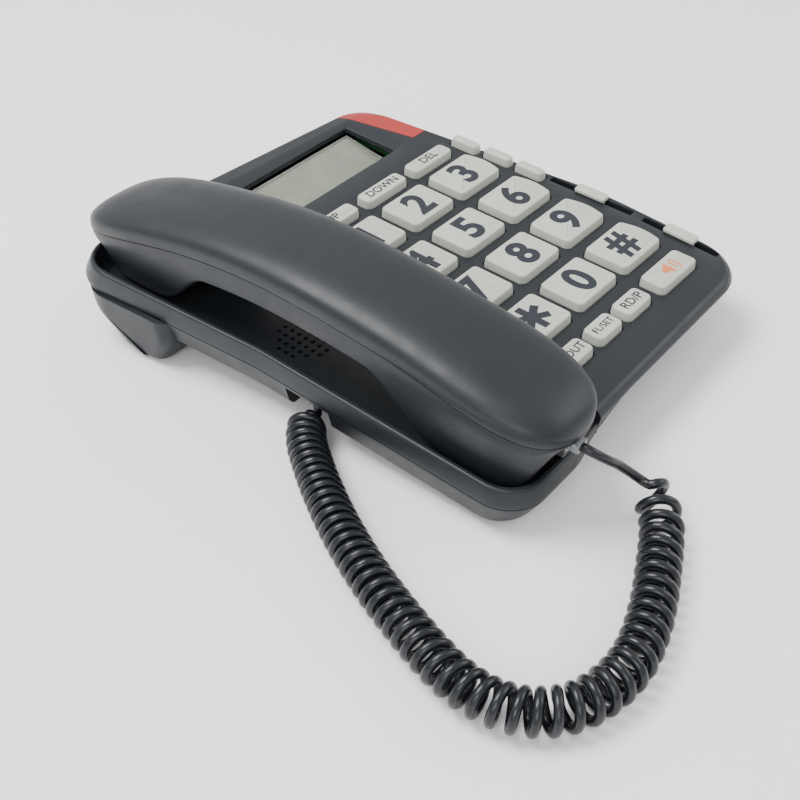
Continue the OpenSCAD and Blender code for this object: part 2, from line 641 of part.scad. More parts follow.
// depth of the lower shell under the parting line: shallow along the grip, deep at the two caps
cap_in = 0.34;
cap_out = 0.62;
function cap_f(s) = smooth((abs(s) - cap_in) / (cap_out - cap_in));
function low_z(s) =
    let (tip = s < 0 ? smooth((-s - 0.86) / 0.135) : smooth((s - 0.8) / 0.17), cap = -cradle_z + 0.35, grip = part_z(s) - 9.5)
    (grip + (cap - grip) * cap_f(s)) * (1 - tip) + (part_z(s) - 2.5) * tip;
function low_w(s) = half_w(s) - 3.2 * cap_f(s) - 0.4;
function low_ring(s, d) =
    let (w = max(0.4, half_w(s) - 0.3 - d), v = max(0.3, low_w(s) * 0.98 - d), z = part_z(s) - 0.12,
         zb = min(low_z(s) + d, z - 0.5), y = hand_y(s), r = min(2.5, (z - zb) * 0.4),
         past = d > 0 ? 2 : 0)
    [[mid_x(s) - w, y, z + past], [mid_x(s) - w, y, z - min(3, (z - zb) * 0.3)],
     [mid_x(s) - v, y, zb + r], [mid_x(s) - v + r * 0.3, y, zb + r * 0.3], [mid_x(s) - v + r, y, zb],
     [mid_x(s) + v - r, y, zb], [mid_x(s) + v - r * 0.3, y, zb + r * 0.3], [mid_x(s) + v, y, zb + r],
     [mid_x(s) + w, y, z - min(3, (z - zb) * 0.3)], [mid_x(s) + w, y, z + past]];
module hand_loft(which, d) {
    e = d / hl;
    loft([for (s = stations) backwards(which > 0 ? top_ring(s * (1 - e), d) : low_ring(s * (1 - e), d))]);
}
mic_y = hand_y(-0.72);
ear_y = hand_y(0.72);
cap_z = -cradle_z + 0.35;
hand_posts = [for (s = [-0.42, 0.42]) [hand_y(s), part_z(s), s]];
module handset_top_shell() {
    color(slate) on_face() difference() {
        union() {
            difference() {
                hand_loft(1, 0);
                hand_loft(1, hand_wall);
            }
            for (p = hand_posts) translate([mid_x(p[2]), p[0], p[1] - 2]) cylinder(h = 9.6, r = 3.2);
        }
        for (p = hand_posts) translate([mid_x(p[2]), p[0], p[1] - 3]) cylinder(h = 8, r = 1.2);
    }
}
module handset_bottom_shell() {
    color(slate) on_face() difference() {
        union() {
            difference() {
                hand_loft(-1, 0);
                hand_loft(-1, hand_wall);
            }
            for (p = hand_posts) translate([mid_x(p[2]), p[0], low_z(p[2]) + 0.8]) cylinder(h = p[1] - low_z(p[2]) - 3, r = 3.6);
        }
        for (p = hand_posts) translate([mid_x(p[2]), p[0], p[1] - 14]) cylinder(h = 20, r = 1.4);
        for (p = hand_posts) translate([mid_x(p[2]), p[0], p[1] - 24]) cylinder(h = 17.6, r = 2.6);
        for (a = [0 : 60 : 300]) translate([mid_x(0.72) + 5 * cos(a), ear_y + 5 * sin(a), cap_z - 2])
            cylinder(h = 5, r = 1, $fn = 16);
        translate([mid_x(0.72), ear_y, cap_z - 2]) cylinder(h = 5, r = 1, $fn = 16);
        for (a = [-60, 0, 60]) translate([hand_x + 4 * sin(a), mic_y, cap_z - 2]) cylinder(h = 5, r = 0.9, $fn = 16);
        hand_jack_space(0);
    }
}
hj_z = part_z(-0.95) - 5.6;                  // height of the plug's axis in the handset's tip
hj_y = hand_y(-1) + 2.5;                     // mouth of the jack
hj_len = 13;
module hand_jack_space(g) {
    translate([hand_x - 5 - g, hj_y - 6, hj_z - 3 - g]) cube([10 + 2 * g, hj_len + 6.2, 6 + 2 * g]);
}
module handset_jack() {
    color("#1d1f21") on_face() difference() {
        translate([hand_x - 4.85, hj_y, hj_z - 2.85]) cube([9.7, hj_len, 5.7]);
        translate([hand_x - plug_w / 2 - 0.15, hj_y - 1, hj_z - plug_t / 2 - 0.15]) cube([plug_w + 0.3, plug_len - 1, plug_t + 0.3]);
    }
}
plug_tail = 3.2;
module plug() {
    translate([-plug_w / 2, 0, -plug_t / 2]) cube([plug_w, plug_len - 2.4, plug_t]);
    translate([-2.4, -plug_tail, -1.5]) cube([4.8, plug_tail + 0.05, 3]);
    translate([-1.6, 0.6, plug_t / 2 - 0.05]) cube([3.2, 1.2, 0.14]);
}
module handset_plug() {
    color("#c9cdd0", 0.8) on_face() translate([hand_x, hj_y + 0.2, hj_z]) plug();
}
module base_plug() {
    color("#c9cdd0", 0.8) on_face() translate([jack_x + 0.4, jack_y, jack_cz]) rotate([0, 0, -90]) plug();
}
module receiver() {
    color("#8a8c8e") on_face() translate([mid_x(0.72), ear_y, cap_z + hand_wall + 0.8]) {
        cylinder(h = 4.6, r = 7.5);
        translate([0, 0, 4.5]) cylinder(h = 3, r = 5.5);
    }
}
module microphone() {
    color("#a9abad") on_face() translate([hand_x, mic_y, cap_z + hand_wall + 2.2]) cylinder(h = 5, r = 4.85);
}
module microphone_boot() {
    color("#2a2c2e") on_face() translate([hand_x, mic_y, cap_z + hand_wall + 0.4]) difference() {
        cylinder(h = 6.8, r = 7);
        translate([0, 0, 1.75]) cylinder(h = 6, r = 4.9);
        translate([0, 0, -1]) cylinder(h = 4, r = 2.4);
    }
}
module handset_weight() {
    color("#8d9093") on_face() translate([mid_x(0.55) - 9, hand_y(0.5), part_z(0.5) - 5]) cube([18, 16, 5]);
}
module handset_screws() {
    color("#9a9c9e") on_face() for (p = hand_posts) translate([mid_x(p[2]), p[0], p[1]]) {
        translate([0, 0, -8.4 + 2]) cylinder(h = 10.4, r = 1.18);
        translate([0, 0, -8.4]) cylinder(h = 2, r = 2.4);
    }
}

// ---- cord: the curly part lies on the table, a short straight lead at each end ----
coil_r = coil_d / 2;
// points of the coil's middle line: x from the base's left side, y, z over the table
coil_points = [
    [4.5, -13, 6.95], [-1.5, -14.2, 6.85], [-7.5, -19.5, 6.8], [-13, -27, 6.8], [-19.5, -37, 6.8],
    [-27, -50, 6.8], [-33.5, -63, 6.8], [-39.5, -77, 6.8], [-44.5, -91, 6.8], [-48.5, -104, 6.8],
    [-51, -116, 6.8], [-50.5, -127, 6.8], [-46.5, -136.5, 6.8], [-39, -143.5, 6.8],
    [-29, -147, 6.8], [-18, -147.5, 6.8], [-7, -145, 6.8], [3.5, -141, 6.8], [13, -136.5, 6.8],
    [22, -132, 6.8], [29, -128, 7.0], [34, -123.5, 8.2], [36, -119.5, 10.4], [35.8, -116.5, 13.2]];
coil_path = [for (p = coil_points) [left_x + p[0], p[1] * cord_y, p[2]]];
coil_end = coil_path[len(coil_path) - 1];
coil_in = unit(coil_path[0] - coil_path[1]);                // out of each end of the coil
coil_out = unit(coil_end - coil_path[len(coil_path) - 2]);
hand_exit = to_room([hand_x, hj_y + 0.2 - plug_tail, hj_z]);
base_exit = to_room([jack_x + 0.4 - plug_tail, jack_y, jack_cz]);
hand_lead_path = concat(
    [for (q = [[0, -0.1, 0], [0, -2.6, -0.2], [1.4, -4.6, -1.8], [4.4, -6.6, -5], [8.2, -8.2, -9]]) hand_exit + q],
    [coil_end + 2.6 * coil_out, coil_end + 0.03 * coil_out]);
base_lead_path = concat(
    [for (q = [[-0.4, -0.03, -0.07], [-1.4, -0.1, -0.3]]) base_exit + q],
    [coil_path[0] + 1.8 * coil_in + [0, 0, 0.5], coil_path[0] + 0.9 * coil_in]);
function tangent(p, i) = unit(p[min(i + 1, len(p) - 1)] - p[max(i - 1, 0)]);
// tube through points p, with r as its radius and k sides
module tube(p, r, k) {
    loft([for (i = [0 : len(p) - 1])
        let (t = tangent(p, i), side = unit(cross(t, [0, 0, 1])), up = cross(side, t))
        [for (j = [0 : k - 1]) let (a = -360 * j / k) p[i] + r * (cos(a) * side + sin(a) * up)]]);
}
module curly_cord() {
    color("#24272b") tube(coil_path, coil_r, 12);
}
module handset_lead() {
    color("#24272b") tube(hand_lead_path, cord_d / 2, 8);
}
module base_lead() {
    color("#24272b") tube(base_lead_path, cord_d / 2, 8);
}

translate(centre) base_top_shell();
translate(centre) base_bottom_shell();
translate(centre) rubber_feet();
translate(centre) display_window();
translate(centre) display_panel();
translate(centre) display_holder();
translate(centre) lamp_lens();
translate(centre) lamp_leds();
translate(centre) main_board();
translate(centre) keymat();
translate(centre) key(dial[0]);  // key_1
translate(centre) key(dial[1]);  // key_2
translate(centre) key(dial[2]);  // key_3
translate(centre) key(dial[3]);  // key_4
translate(centre) key(dial[4]);  // key_5
translate(centre) key(dial[5]);  // key_6
translate(centre) key(dial[6]);  // key_7
translate(centre) key(dial[7]);  // key_8
translate(centre) key(dial[8]);  // key_9
translate(centre) key(dial[9]);  // key_star
translate(centre) key(dial[10]);  // key_0
translate(centre) key(dial[11]);  // key_hash
translate(centre) key(key_up_at);  // key_up
translate(centre) key(key_down_at);  // key_down
translate(centre) key(key_delete_at);  // key_delete
translate(centre) key(key_out_at);  // key_out
translate(centre) key(key_flash_at);  // key_flash
translate(centre) key(key_redial_at);  // key_redial
translate(centre) key(key_speaker_at);  // key_speaker
translate(centre) key(mem_keys[0]);  // key_memory_1
translate(centre) key(mem_keys[1]);  // key_memory_2
translate(centre) key(mem_keys[2]);  // key_memory_3
translate(centre) slide_knob(0);  // ringer_slider
translate(centre) slide_knob(1);  // volume_slider
translate(centre) slide_switches();
translate(centre) hook_plunger();
translate(centre) hook_switch();
translate(centre) loudspeaker();
translate(centre) speaker_clamp();
translate(centre) base_cord_jack();
translate(centre) line_jack();
translate(centre) battery_door();
translate(centre) battery_contacts();
translate(centre) base_screws();
translate(centre) board_screws();
translate(centre) handset_top_shell();
translate(centre) handset_bottom_shell();
translate(centre) receiver();
translate(centre) microphone();
translate(centre) microphone_boot();
translate(centre) handset_weight();
translate(centre) handset_jack();
translate(centre) handset_screws();
translate(centre) handset_plug();
translate(centre) base_plug();
translate(centre) handset_lead();
translate(centre) base_lead();
translate(centre) curly_cord();
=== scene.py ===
import json
import bpy
import numpy as np
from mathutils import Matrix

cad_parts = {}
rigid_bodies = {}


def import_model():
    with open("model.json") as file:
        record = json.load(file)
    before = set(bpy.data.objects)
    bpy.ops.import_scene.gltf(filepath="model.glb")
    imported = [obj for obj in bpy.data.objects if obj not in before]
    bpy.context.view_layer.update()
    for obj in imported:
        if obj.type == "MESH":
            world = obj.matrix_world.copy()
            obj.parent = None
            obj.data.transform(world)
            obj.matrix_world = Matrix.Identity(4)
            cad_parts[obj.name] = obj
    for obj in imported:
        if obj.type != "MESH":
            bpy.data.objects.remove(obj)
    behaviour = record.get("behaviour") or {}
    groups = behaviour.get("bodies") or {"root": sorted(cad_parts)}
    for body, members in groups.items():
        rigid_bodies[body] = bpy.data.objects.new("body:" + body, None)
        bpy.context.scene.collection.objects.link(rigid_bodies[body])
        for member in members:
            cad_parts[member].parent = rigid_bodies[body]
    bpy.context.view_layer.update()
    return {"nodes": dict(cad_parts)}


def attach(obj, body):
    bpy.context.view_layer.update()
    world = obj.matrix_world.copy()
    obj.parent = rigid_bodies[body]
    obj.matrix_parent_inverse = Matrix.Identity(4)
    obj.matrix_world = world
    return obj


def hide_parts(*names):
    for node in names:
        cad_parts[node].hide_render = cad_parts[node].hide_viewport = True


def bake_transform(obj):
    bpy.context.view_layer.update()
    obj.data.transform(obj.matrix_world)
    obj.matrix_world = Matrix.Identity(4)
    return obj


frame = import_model()

# lengths are millimetres on the key face until toRoom turns them into metres in the room
base = {"width": 154, "depth": 198, "tilt": 4, "faceHeight": 31, "wall": 2.2, "split": 12.7,
        "floor": 23.5, "sweep": 5, "rim": 3, "bevel": 1, "centre": (-0.58, 1.34), "cornerSteps": 14}
halfWide = base["width"] / 2
halfDeep = base["depth"] / 2
leftSide = -halfWide + 3 + base["sweep"]
tiltCos = np.cos(np.radians(base["tilt"]))
tiltSin = np.sin(np.radians(base["tilt"]))


# a face point turned by the tilt about X, raised to the face height and moved to the centred frame
def toRoom(points):
    x, y, z = np.moveaxis(np.asarray(points, float), -1, 0)
    room = np.stack([x + base["centre"][0], y * tiltCos - z * tiltSin + base["centre"][1],
                     base["faceHeight"] + y * tiltSin + z * tiltCos], -1)
    return room / 1000


# a point already in the room's directions, only centred and scaled
def standing(points):
    return (np.asarray(points, float) + np.array([*base["centre"], 0])) / 1000


camera = {"place": (-0.27078, -0.23916, 0.2673), "lens": 54.88, "sensor": 36,
          "right": (0.64641, -0.76134, -0.05021), "up": (0.51577, 0.38752, 0.76407),
          "back": (-0.56226, -0.5198, 0.64317)}


def addCamera():
    data = bpy.data.cameras.new("cameraMain")
    data.lens = camera["lens"]
    data.sensor_width = camera["sensor"]
    item = bpy.data.objects.new("cameraMain", data)
    bpy.context.collection.objects.link(item)
    turn = np.eye(4)
    turn[:3, :3] = np.array([camera["right"], camera["up"], camera["back"]]).T
    turn[:3, 3] = camera["place"]
    item.matrix_world = [list(row) for row in turn.T]
    bpy.context.scene.camera = item


def meshObject(name, verts, faces, smoothAngle=32):
    mesh = bpy.data.meshes.new(name)
    mesh.from_pydata(np.asarray(verts).tolist(), [], faces)
    mesh.update()
    item = bpy.data.objects.new(name, mesh)
    bpy.context.collection.objects.link(item)
    shade(item, smoothAngle)
    return item


def shade(item, angle=32):
    mesh = item.data
    mesh.polygons.foreach_set("use_smooth", np.ones(len(mesh.polygons), bool))
    mesh.set_sharp_from_angle(angle=np.radians(angle))
    mesh.update()


# the unit vector along each row
def unit(v):
    return v / np.linalg.norm(v, axis=-1, keepdims=True)


# an outline from corners (x, y, radius): each corner is an arc that starts r tan(turn/2) before it,
# and each arc point is start + u r sin(t) + n r (1 - cos(t)), with u the way in and n across it
def outline(corners, steps=None):
    steps = steps or base["cornerSteps"]
    corners = np.asarray(corners, float)
    p, r = corners[:, :2], corners[:, 2]
    u = unit(p - np.roll(p, 1, 0))
    v = unit(np.roll(p, -1, 0) - p)
    turn = np.arctan2(u[:, 0] * v[:, 1] - u[:, 1] * v[:, 0], (u * v).sum(1))
    n = np.sign(turn)[:, None] * np.stack([-u[:, 1], u[:, 0]], 1)
    start = p - u * (r * np.tan(np.abs(turn) / 2))[:, None]
    t = np.abs(turn)[:, None] * np.linspace(0, 1, steps + 1)
    arc = (start[:, None] + u[:, None] * (r[:, None] * np.sin(t))[..., None]
           + n[:, None] * (r[:, None] * (1 - np.cos(t)))[..., None])
    return arc.reshape(-1, 2)


# every side moved inwards by d: each corner goes d (m + n) / (1 + m.n), its radius shrinks by d
def inset(corners, d):
    corners = np.asarray(corners, float)
    p = corners[:, :2]
    u = unit(p - np.roll(p, 1, 0))
    v = unit(np.roll(p, -1, 0) - p)
    m = np.stack([-u[:, 1], u[:, 0]], 1)
    n = np.stack([-v[:, 1], v[:, 0]], 1)
    bend = np.sign(u[:, 0] * v[:, 1] - u[:, 1] * v[:, 0])
    q = p + d * (m + n) / (1 + (m * n).sum(1, keepdims=True))
    return np.column_stack([q, np.maximum(0.4, corners[:, 2] - bend * d)])


def ring(z, corners, steps=None):
    flat = outline(corners, steps)
    return np.column_stack([flat, np.full(len(flat), float(z))])


# each inner ring is replaced by a short curve: a quadratic Bezier from a point toward the ring before,
# pulled to the ring itself, to a point toward the ring after, each at the given distance from it
def softened(rings, reach, count=4):
    rings = [np.asarray(r) for r in rings]
    out = [rings[0]]
    t = np.linspace(0, 1, count + 1)[:, None, None]
    for j in range(1, len(rings) - 1):
        if not reach[j]:
            out.append(rings[j])
            continue
        before, here, after = rings[j - 1], rings[j], rings[j + 1]
        a = here + (before - here) * min(0.45, reach[j] / np.linalg.norm(before - here, axis=1).mean())
        b = here + (after - here) * min(0.45, reach[j] / np.linalg.norm(after - here, axis=1).mean())
        out.extend((1 - t) ** 2 * a + 2 * t * (1 - t) * here + t ** 2 * b)
    out.append(rings[-1])
    return np.array(out)


# a closed skin through rings of equal counts, lowest first, with a flat face at each end
def loftFaces(count, size):
    grid = np.arange(count * size).reshape(count, size)
    low, high = grid[:-1], grid[1:]
    quads = np.stack([low, np.roll(low, -1, 1), np.roll(high, -1, 1), high], -1).reshape(-1, 4)
    return quads.tolist() + [grid[0][::-1].tolist(), grid[-1].tolist()]


def loft(name, rings, place=toRoom, angle=32):
    rings = np.asarray(rings)
    return meshObject(name, place(rings.reshape(-1, 3)), loftFaces(*rings.shape[:2]), angle)


def boxSolid(name, low, high, place=toRoom):
    x0, y0, z0 = low
    x1, y1, z1 = high
    square = np.array([[x0, y0], [x1, y0], [x1, y1], [x0, y1]])
    rings = [np.column_stack([square, np.full(4, z)]) for z in (z0, z1)]
    return loft(name, rings, place)


def combine(target, tool, operation="DIFFERENCE", solver="MANIFOLD"):
    step = target.modifiers.new("combine", "BOOLEAN")
    step.operation = operation
    step.object = tool
    step.solver = solver
    bpy.context.view_layer.objects.active = target
    bpy.ops.object.modifier_apply(modifier=step.name)
    bpy.data.objects.remove(tool, do_unlink=True)
    if not len(target.data.polygons):
        raise RuntimeError(target.name + " came out empty")
    return target


# corner lists of the base's outer shape, all counter-clockwise from above
def corners(points):
    return np.array(points[::-1], float)


faceEdge = corners([
    [leftSide + 2.6, -halfDeep + 4.4, 12], [leftSide + 2.6, 8, 120], [-halfWide + 4.2, halfDeep - 14.5, 13],
    [halfWide - 11.8, halfDeep - 21.5, 13], [halfWide - 1.4, -30, 150], [halfWide - 6, -halfDeep + 7.6, 18],
    [-8, -halfDeep + 5.2, 40], [-36, -halfDeep + 4.6, 60]])
rimEdge = corners([
    [leftSide + 0.6, -halfDeep + 1.2, 13], [leftSide + 0.6, 8, 120], [-halfWide + 1.2, halfDeep - 4, 16],
    [halfWide - 10.4, halfDeep - 15, 15], [halfWide + 0.9, -30, 150], [halfWide - 3.6, -halfDeep + 4.6, 20],
    [-8, -halfDeep + 2.6, 40], [-36, -halfDeep + 1.6, 60]])
splitEdge = corners([
    [leftSide, -halfDeep, 14], [leftSide, 8, 120], [-halfWide - 0.2, halfDeep, 16],
    [halfWide - 12, halfDeep - 3, 18], [halfWide - 3, -30, 150], [halfWide - 9, -halfDeep + 13, 20],
    [-8, -halfDeep + 12, 40], [-34, -halfDeep + 0.6, 30]])
footEdge = corners([
    [leftSide + 2, -halfDeep + 4, 12], [leftSide + 2, 8, 120], [-halfWide + 3.4, halfDeep - 5, 14],
    [halfWide - 20, halfDeep - 7, 16], [halfWide - 12, -30, 150], [halfWide - 19, -halfDeep + 27, 18],
    [-8, -halfDeep + 22, 40], [-34, -halfDeep + 7, 30]])


# the base's whole outer skin, from the underside up over the widest line to the key face
def envelope(name):
    levels = [ring(-base["floor"], inset(footEdge, 2)), ring(-base["floor"] + 2, footEdge),
              ring(-base["split"], splitEdge), ring(-base["rim"], rimEdge),
              ring(-base["bevel"], inset(rimEdge, 1.4)), ring(0, faceEdge), ring(0, inset(faceEdge, 0.7))]
    return loft(name, softened(levels, [0, 1.4, 2.2, 0.7, 0.5, 0.45, 0]), angle=24)


# the room inside the base, d within the outer skin
def hollow(name, d):
    levels = [ring(-base["floor"] + d, inset(footEdge, 2 + d)),
              ring(-base["floor"] + 2 + d, inset(footEdge, d)),
              ring(-base["split"], inset(splitEdge, d)), ring(-base["rim"], inset(rimEdge, d)),
              ring(-d, inset(rimEdge, d + 1))]
    return loft(name, levels)


hump = {"start": halfDeep - 51, "lift": 1.2, "height": 21.8}
humpPlan = corners([
    [-halfWide + 1.2, hump["start"], 6], [-halfWide + 0.2, halfDeep - 20, 60],
    [-halfWide + 0.2, halfDeep - 1.2, 17], [halfWide - 17, halfDeep - 4, 17],
    [halfWide - 16, hump["start"], 8]])
humpLow = corners([
    [-halfWide + 3, hump["start"] + 7, 6], [-halfWide + 2.6, halfDeep - 30, 60],
    [-halfWide + 4.5, halfDeep - 12, 26], [halfWide - 24, halfDeep - 12, 22],
    [halfWide - 22, hump["start"] + 7, 8]])


# the raised rear foot, d within its own skin, standing straight on the table
def humpSolid(name, d):
    levels = [ring(hump["lift"] + d, inset(humpLow, 1.5 + d)),
              ring(hump["lift"] + 1.5 + d * 0.5, inset(humpLow, d)),
              ring(12, inset(humpPlan, 1.2 + d)), ring(hump["height"], inset(humpPlan, 0.6 + d))]
    return loft(name, softened(levels, [0, 1.6, 4, 0]), standing, 24)


cradle = {"gap": 0.8, "depth": 13.5, "lipDepth": 5.2, "lipWall": 2.7, "lipRound": 0.9}
handset = {"width": 38.5, "over": 6, "middle": -1, "shift": 3, "grip": 20, "crown": 9, "band": 2.2}
handsetX = leftSide + 2.4 + cradle["gap"] + handset["width"] / 2
cradleRight = handsetX + handset["width"] / 2 + 1.8 + cradle["gap"]
lipWall = cradle["lipWall"]
troughTop = np.array([
    [leftSide + lipWall, -halfDeep + 3.6, 11], [cradleRight - 0.6, -halfDeep + 3.6, 8],
    [cradleRight - 0.6, halfDeep - 7, 10], [-halfWide + lipWall + 1.2, halfDeep - 6, 12],
    [leftSide + lipWall, 8, 120]])
troughLow = np.array([
    [leftSide + lipWall + 1.6, -halfDeep + 5, 11.5], [cradleRight - 2.4, -halfDeep + 5, 5],
    [cradleRight - 2.4, halfDeep - 8.6, 6], [-halfWide + lipWall + 2.6, halfDeep - 8, 11],
    [leftSide + lipWall + 1.6, 8, 120]])


# the cradle's hollow, d bigger all round; flare opens it in a quarter round at the lip and at the face
def trough(name, d, flare=0.0):
    levels = [ring(-cradle["depth"] - d, inset(troughLow, 1.8 - d)),
              ring(-cradle["depth"] + 1.8 - d, inset(troughLow, -d)),
              ring(-cradle["lipDepth"] - flare, inset(troughTop, -d))]
    low = softened(levels, [0, 1.2, 0])
    if not flare:
        return loft(name, list(low) + [ring(0.02, inset(troughTop, -d))])
    quarter = np.linspace(0, np.pi / 2, 6)[1:]
    opened = lambda a, rounds: inset(troughTop, -d - flare * (rounds - np.cos(a)))
    mouth = [ring(-cradle["lipDepth"] - flare * (1 - np.sin(a)), opened(a, 1)) for a in quarter]
    top = [ring(-flare * (1 - np.sin(a)) + 0.01, opened(a, 2)) for a in quarter]
    straight = [ring(-flare, inset(troughTop, -d - flare))]
    return loft(name, list(low) + mouth + straight + top)


# everything above the parting line: it runs low along the cradle and just under the rim elsewhere
def overSplit(name, gap):
    far = base["depth"]
    step = leftSide + 32
    line = np.array([[-far, -base["split"] + gap], [step, -base["split"] + gap],
                     [step + 24, -base["rim"] - 1 + gap], [far, -base["rim"] - 1 + gap],
                     [far, far], [-far, far]])
    rings = [np.column_stack([line[:, 0], np.full(6, y), line[:, 1]]) for y in (far, -far)]
    return loft(name, rings)


# turned shapes: circles of radius r at height z, one set for every centre, on the key face
def turned(centres, profile, sides=24):
    a = np.linspace(0, 2 * np.pi, sides, endpoint=False)
    r, z = np.asarray(profile, float).T
    rings = np.stack([np.outer(r, np.cos(a)), np.outer(r, np.sin(a)), np.repeat(z[:, None], sides, 1)], -1)
    return [rings + np.array([*c, 0][:3]) for c in centres]


# several lofts in one mesh
def lofts(name, parts, place=toRoom, angle=32):
    verts, faces, count = [], [], 0
    for rings in parts:
        rings = np.asarray(rings)
        verts.append(rings.reshape(-1, 3))
        faces += [[i + count for i in face] for face in loftFaces(*rings.shape[:2])]
        count += len(verts[-1])
    return meshObject(name, place(np.concatenate(verts)), faces, angle)


def block(low, high):
    x0, y0, z0 = low
    x1, y1, z1 = high
    square = np.array([[x0, y0], [x1, y0], [x1, y1], [x0, y1]])
    return np.array([np.column_stack([square, np.full(4, z)]) for z in (z0, z1)])


# ---- camera and cord ----
addCamera()
cord = {"thick": 3.0, "coil": 5.25, "pointsPerTurn": 28, "sides": 12, "ramp": 7}
coilPoints = np.array([
    [4.5, -13, 6.95], [-1.5, -14.2, 6.85], [-7.5, -19.5, 6.8], [-13, -27, 6.8], [-19.5, -37, 6.8],
    [-27, -50, 6.8], [-33.5, -63, 6.8], [-39.5, -77, 6.8], [-44.5, -91, 6.8], [-48.5, -104, 6.8],
    [-51, -116, 6.8], [-50.5, -127, 6.8], [-46.5, -136.5, 6.8], [-39, -143.5, 6.8],
    [-29, -147, 6.8], [-18, -147.5, 6.8], [-7, -145, 6.8], [3.5, -141, 6.8], [13, -136.5, 6.8],
    [22, -132, 6.8], [29, -128, 7.0], [34, -123.5, 8.2], [36, -119.5, 10.4], [35.8, -116.5, 13.2]])
coilPoints[:, 0] += leftSide
jackX, jackY, jackZ, plugTail = leftSide + 12, -12, -19.4, 3.2
handJackY, handJackZ = -100.5, 5.5855
baseExit = toRoom([jackX + 0.4 - plugTail, jackY, jackZ]) * 1000 - np.array([*base["centre"], 0])
handExit = toRoom([handsetX, handJackY + 0.2 - plugTail, handJackZ]) * 1000 - np.array([*base["centre"], 0])


# a Catmull-Rom curve through the points, uniform in its parameter, sampled evenly along its length
def alongPath(points, step):
    points = np.asarray(points, float)
    ends = np.vstack([2 * points[0] - points[1], points, 2 * points[-1] - points[-2]])
    p0, p1, p2, p3 = ends[:-3], ends[1:-2], ends[2:-1], ends[3:]
    t = np.linspace(0, 1, 24, endpoint=False)[None, :, None]
    p0, p1, p2, p3 = p0[:, None], p1[:, None], p2[:, None], p3[:, None]
    curve = 0.5 * (2 * p1 + (p2 - p0) * t + (2 * p0 - 5 * p1 + 4 * p2 - p3) * t ** 2
                   + (3 * p1 - p0 - 3 * p2 + p3) * t ** 3)
    curve = np.vstack([curve.reshape(-1, 3), points[-1:]])
    length = np.concatenate([[0], np.cumsum(np.linalg.norm(np.diff(curve, axis=0), axis=1))])
    even = np.arange(0, length[-1], step)
    return np.stack([np.interp(even, length, curve[:, k]) for k in range(3)], -1), even


# a tube: at each point p of the path a ring p + r (cos(b) side + sin(b) up), carried without twist
def tubeMesh(name, path, radius, sides):
    path = np.asarray(path)
    tangent = unit(np.gradient(path, axis=0))
    side = unit(np.cross(tangent[0], [0, 0, 1.0]))
    frameSides = np.empty_like(path)
    for i, t in enumerate(tangent):  # the side is carried along by removing its part along the tangent
        side = side - t * (side @ t)
        side = side / np.linalg.norm(side)
        frameSides[i] = side
    up = np.cross(frameSides, tangent)
    b = -np.linspace(0, 2 * np.pi, sides, endpoint=False)
    rings = (path[:, None] + radius * (np.cos(b)[None, :, None] * frameSides[:, None]
                                       + np.sin(b)[None, :, None] * up[:, None]))
    return loft(name, rings, standing, 60)


def cordPath():
    carrier = np.vstack([baseExit, baseExit + [-2.2, -0.1, -0.6], coilPoints,
                         handExit + [8.2, -8.2, -9], handExit + [4.4, -6.6, -5],
                         handExit + [1.4, -4.6, -1.8], handExit + [0, -2.6, -0.2], handExit])
    points, s = alongPath(carrier, 0.12)
    near = lambda p: s[np.argmin(np.linalg.norm(points - p, axis=1))]
    first, last = near(coilPoints[0]), near(coilPoints[-1])
    t = np.clip((s - first) / (last - first), 0, 1)
    pitch = np.interp(t, [0, 0.1, 0.35, 0.5, 0.7, 0.9, 0.95, 1], [3.45, 3.6, 4.2, 4.8, 4.7, 4.9, 6.2, 7.5])
    wound = smooth((s - first) / cord["ramp"]) * smooth((last + 1.5 - s) / cord["ramp"])
    phase = np.cumsum(np.gradient(s) * wound / pitch) * 2 * np.pi  # the winding starts slowly at both ends
    reach = cord["coil"] * wound
    tangent = unit(np.gradient(points, axis=0))
    side = unit(np.cross(tangent, [0, 0, 1.0]))
    up = np.cross(side, tangent)
    coil = points + reach[:, None] * (np.cos(phase)[:, None] * side + np.sin(phase)[:, None] * up)
    length = np.concatenate([[0], np.cumsum(np.linalg.norm(np.diff(coil, axis=0), axis=1))])
    even = np.linspace(0, length[-1], int(length[-1] / 1.15))
    return np.stack([np.interp(even, length, coil[:, k]) for k in range(3)], -1), length[-1]


def smooth(t):
    c = np.clip(t, 0, 1)
    return c * c * (3 - 2 * c)


cordLine, cordLength = cordPath()
curlyCord = tubeMesh("curlyCord", cordLine, cord["thick"] / 2, cord["sides"])
print("cord: %.3f m, %d points" % (cordLength / 1000, len(cordLine)))


# ---- keys: x, y, width, depth, bulge of the left side, bulge of the right side ----
grid = {"x": halfWide - 55, "y": -halfDeep + 42.8, "stepX": 27, "stepY": 23.6, "width": 22.6, "depth": 17.8,
        "bulge": 1.6, "round": 2.2, "height": 3, "gap": 0.35, "flange": 2.6}
keys = {}
for place, word in enumerate("123456789*0#"):
    row, column = divmod(place, 3)
    label = {"*": "star", "#": "hash"}.get(word, word)
    keys["key_" + label] = (word, [
        grid["x"] + (column - 1) * grid["stepX"], grid["y"] + (3 - row) * grid["stepY"],
        grid["width"], grid["depth"], grid["bulge"] * (column == 0), grid["bulge"] * (column == 2)])
topY = grid["y"] + 3 * grid["stepY"] + grid["depth"] / 2 + 8.4
lowY = grid["y"] - grid["depth"] / 2 - 10.8
keys["key_up"] = ("UP", [grid["x"] - grid["stepX"], topY, grid["width"], 7.4, 0, 0])
keys["key_down"] = ("DOWN", [grid["x"], topY, grid["width"], 7.4, 0, 0])
keys["key_delete"] = ("DEL", [grid["x"] + grid["stepX"], topY, grid["width"], 7.4, 0, 0])
keys["key_out"] = ("OUT", [grid["x"] - grid["stepX"] - 4.6, lowY, 12.6, 8.4, 0, 0])
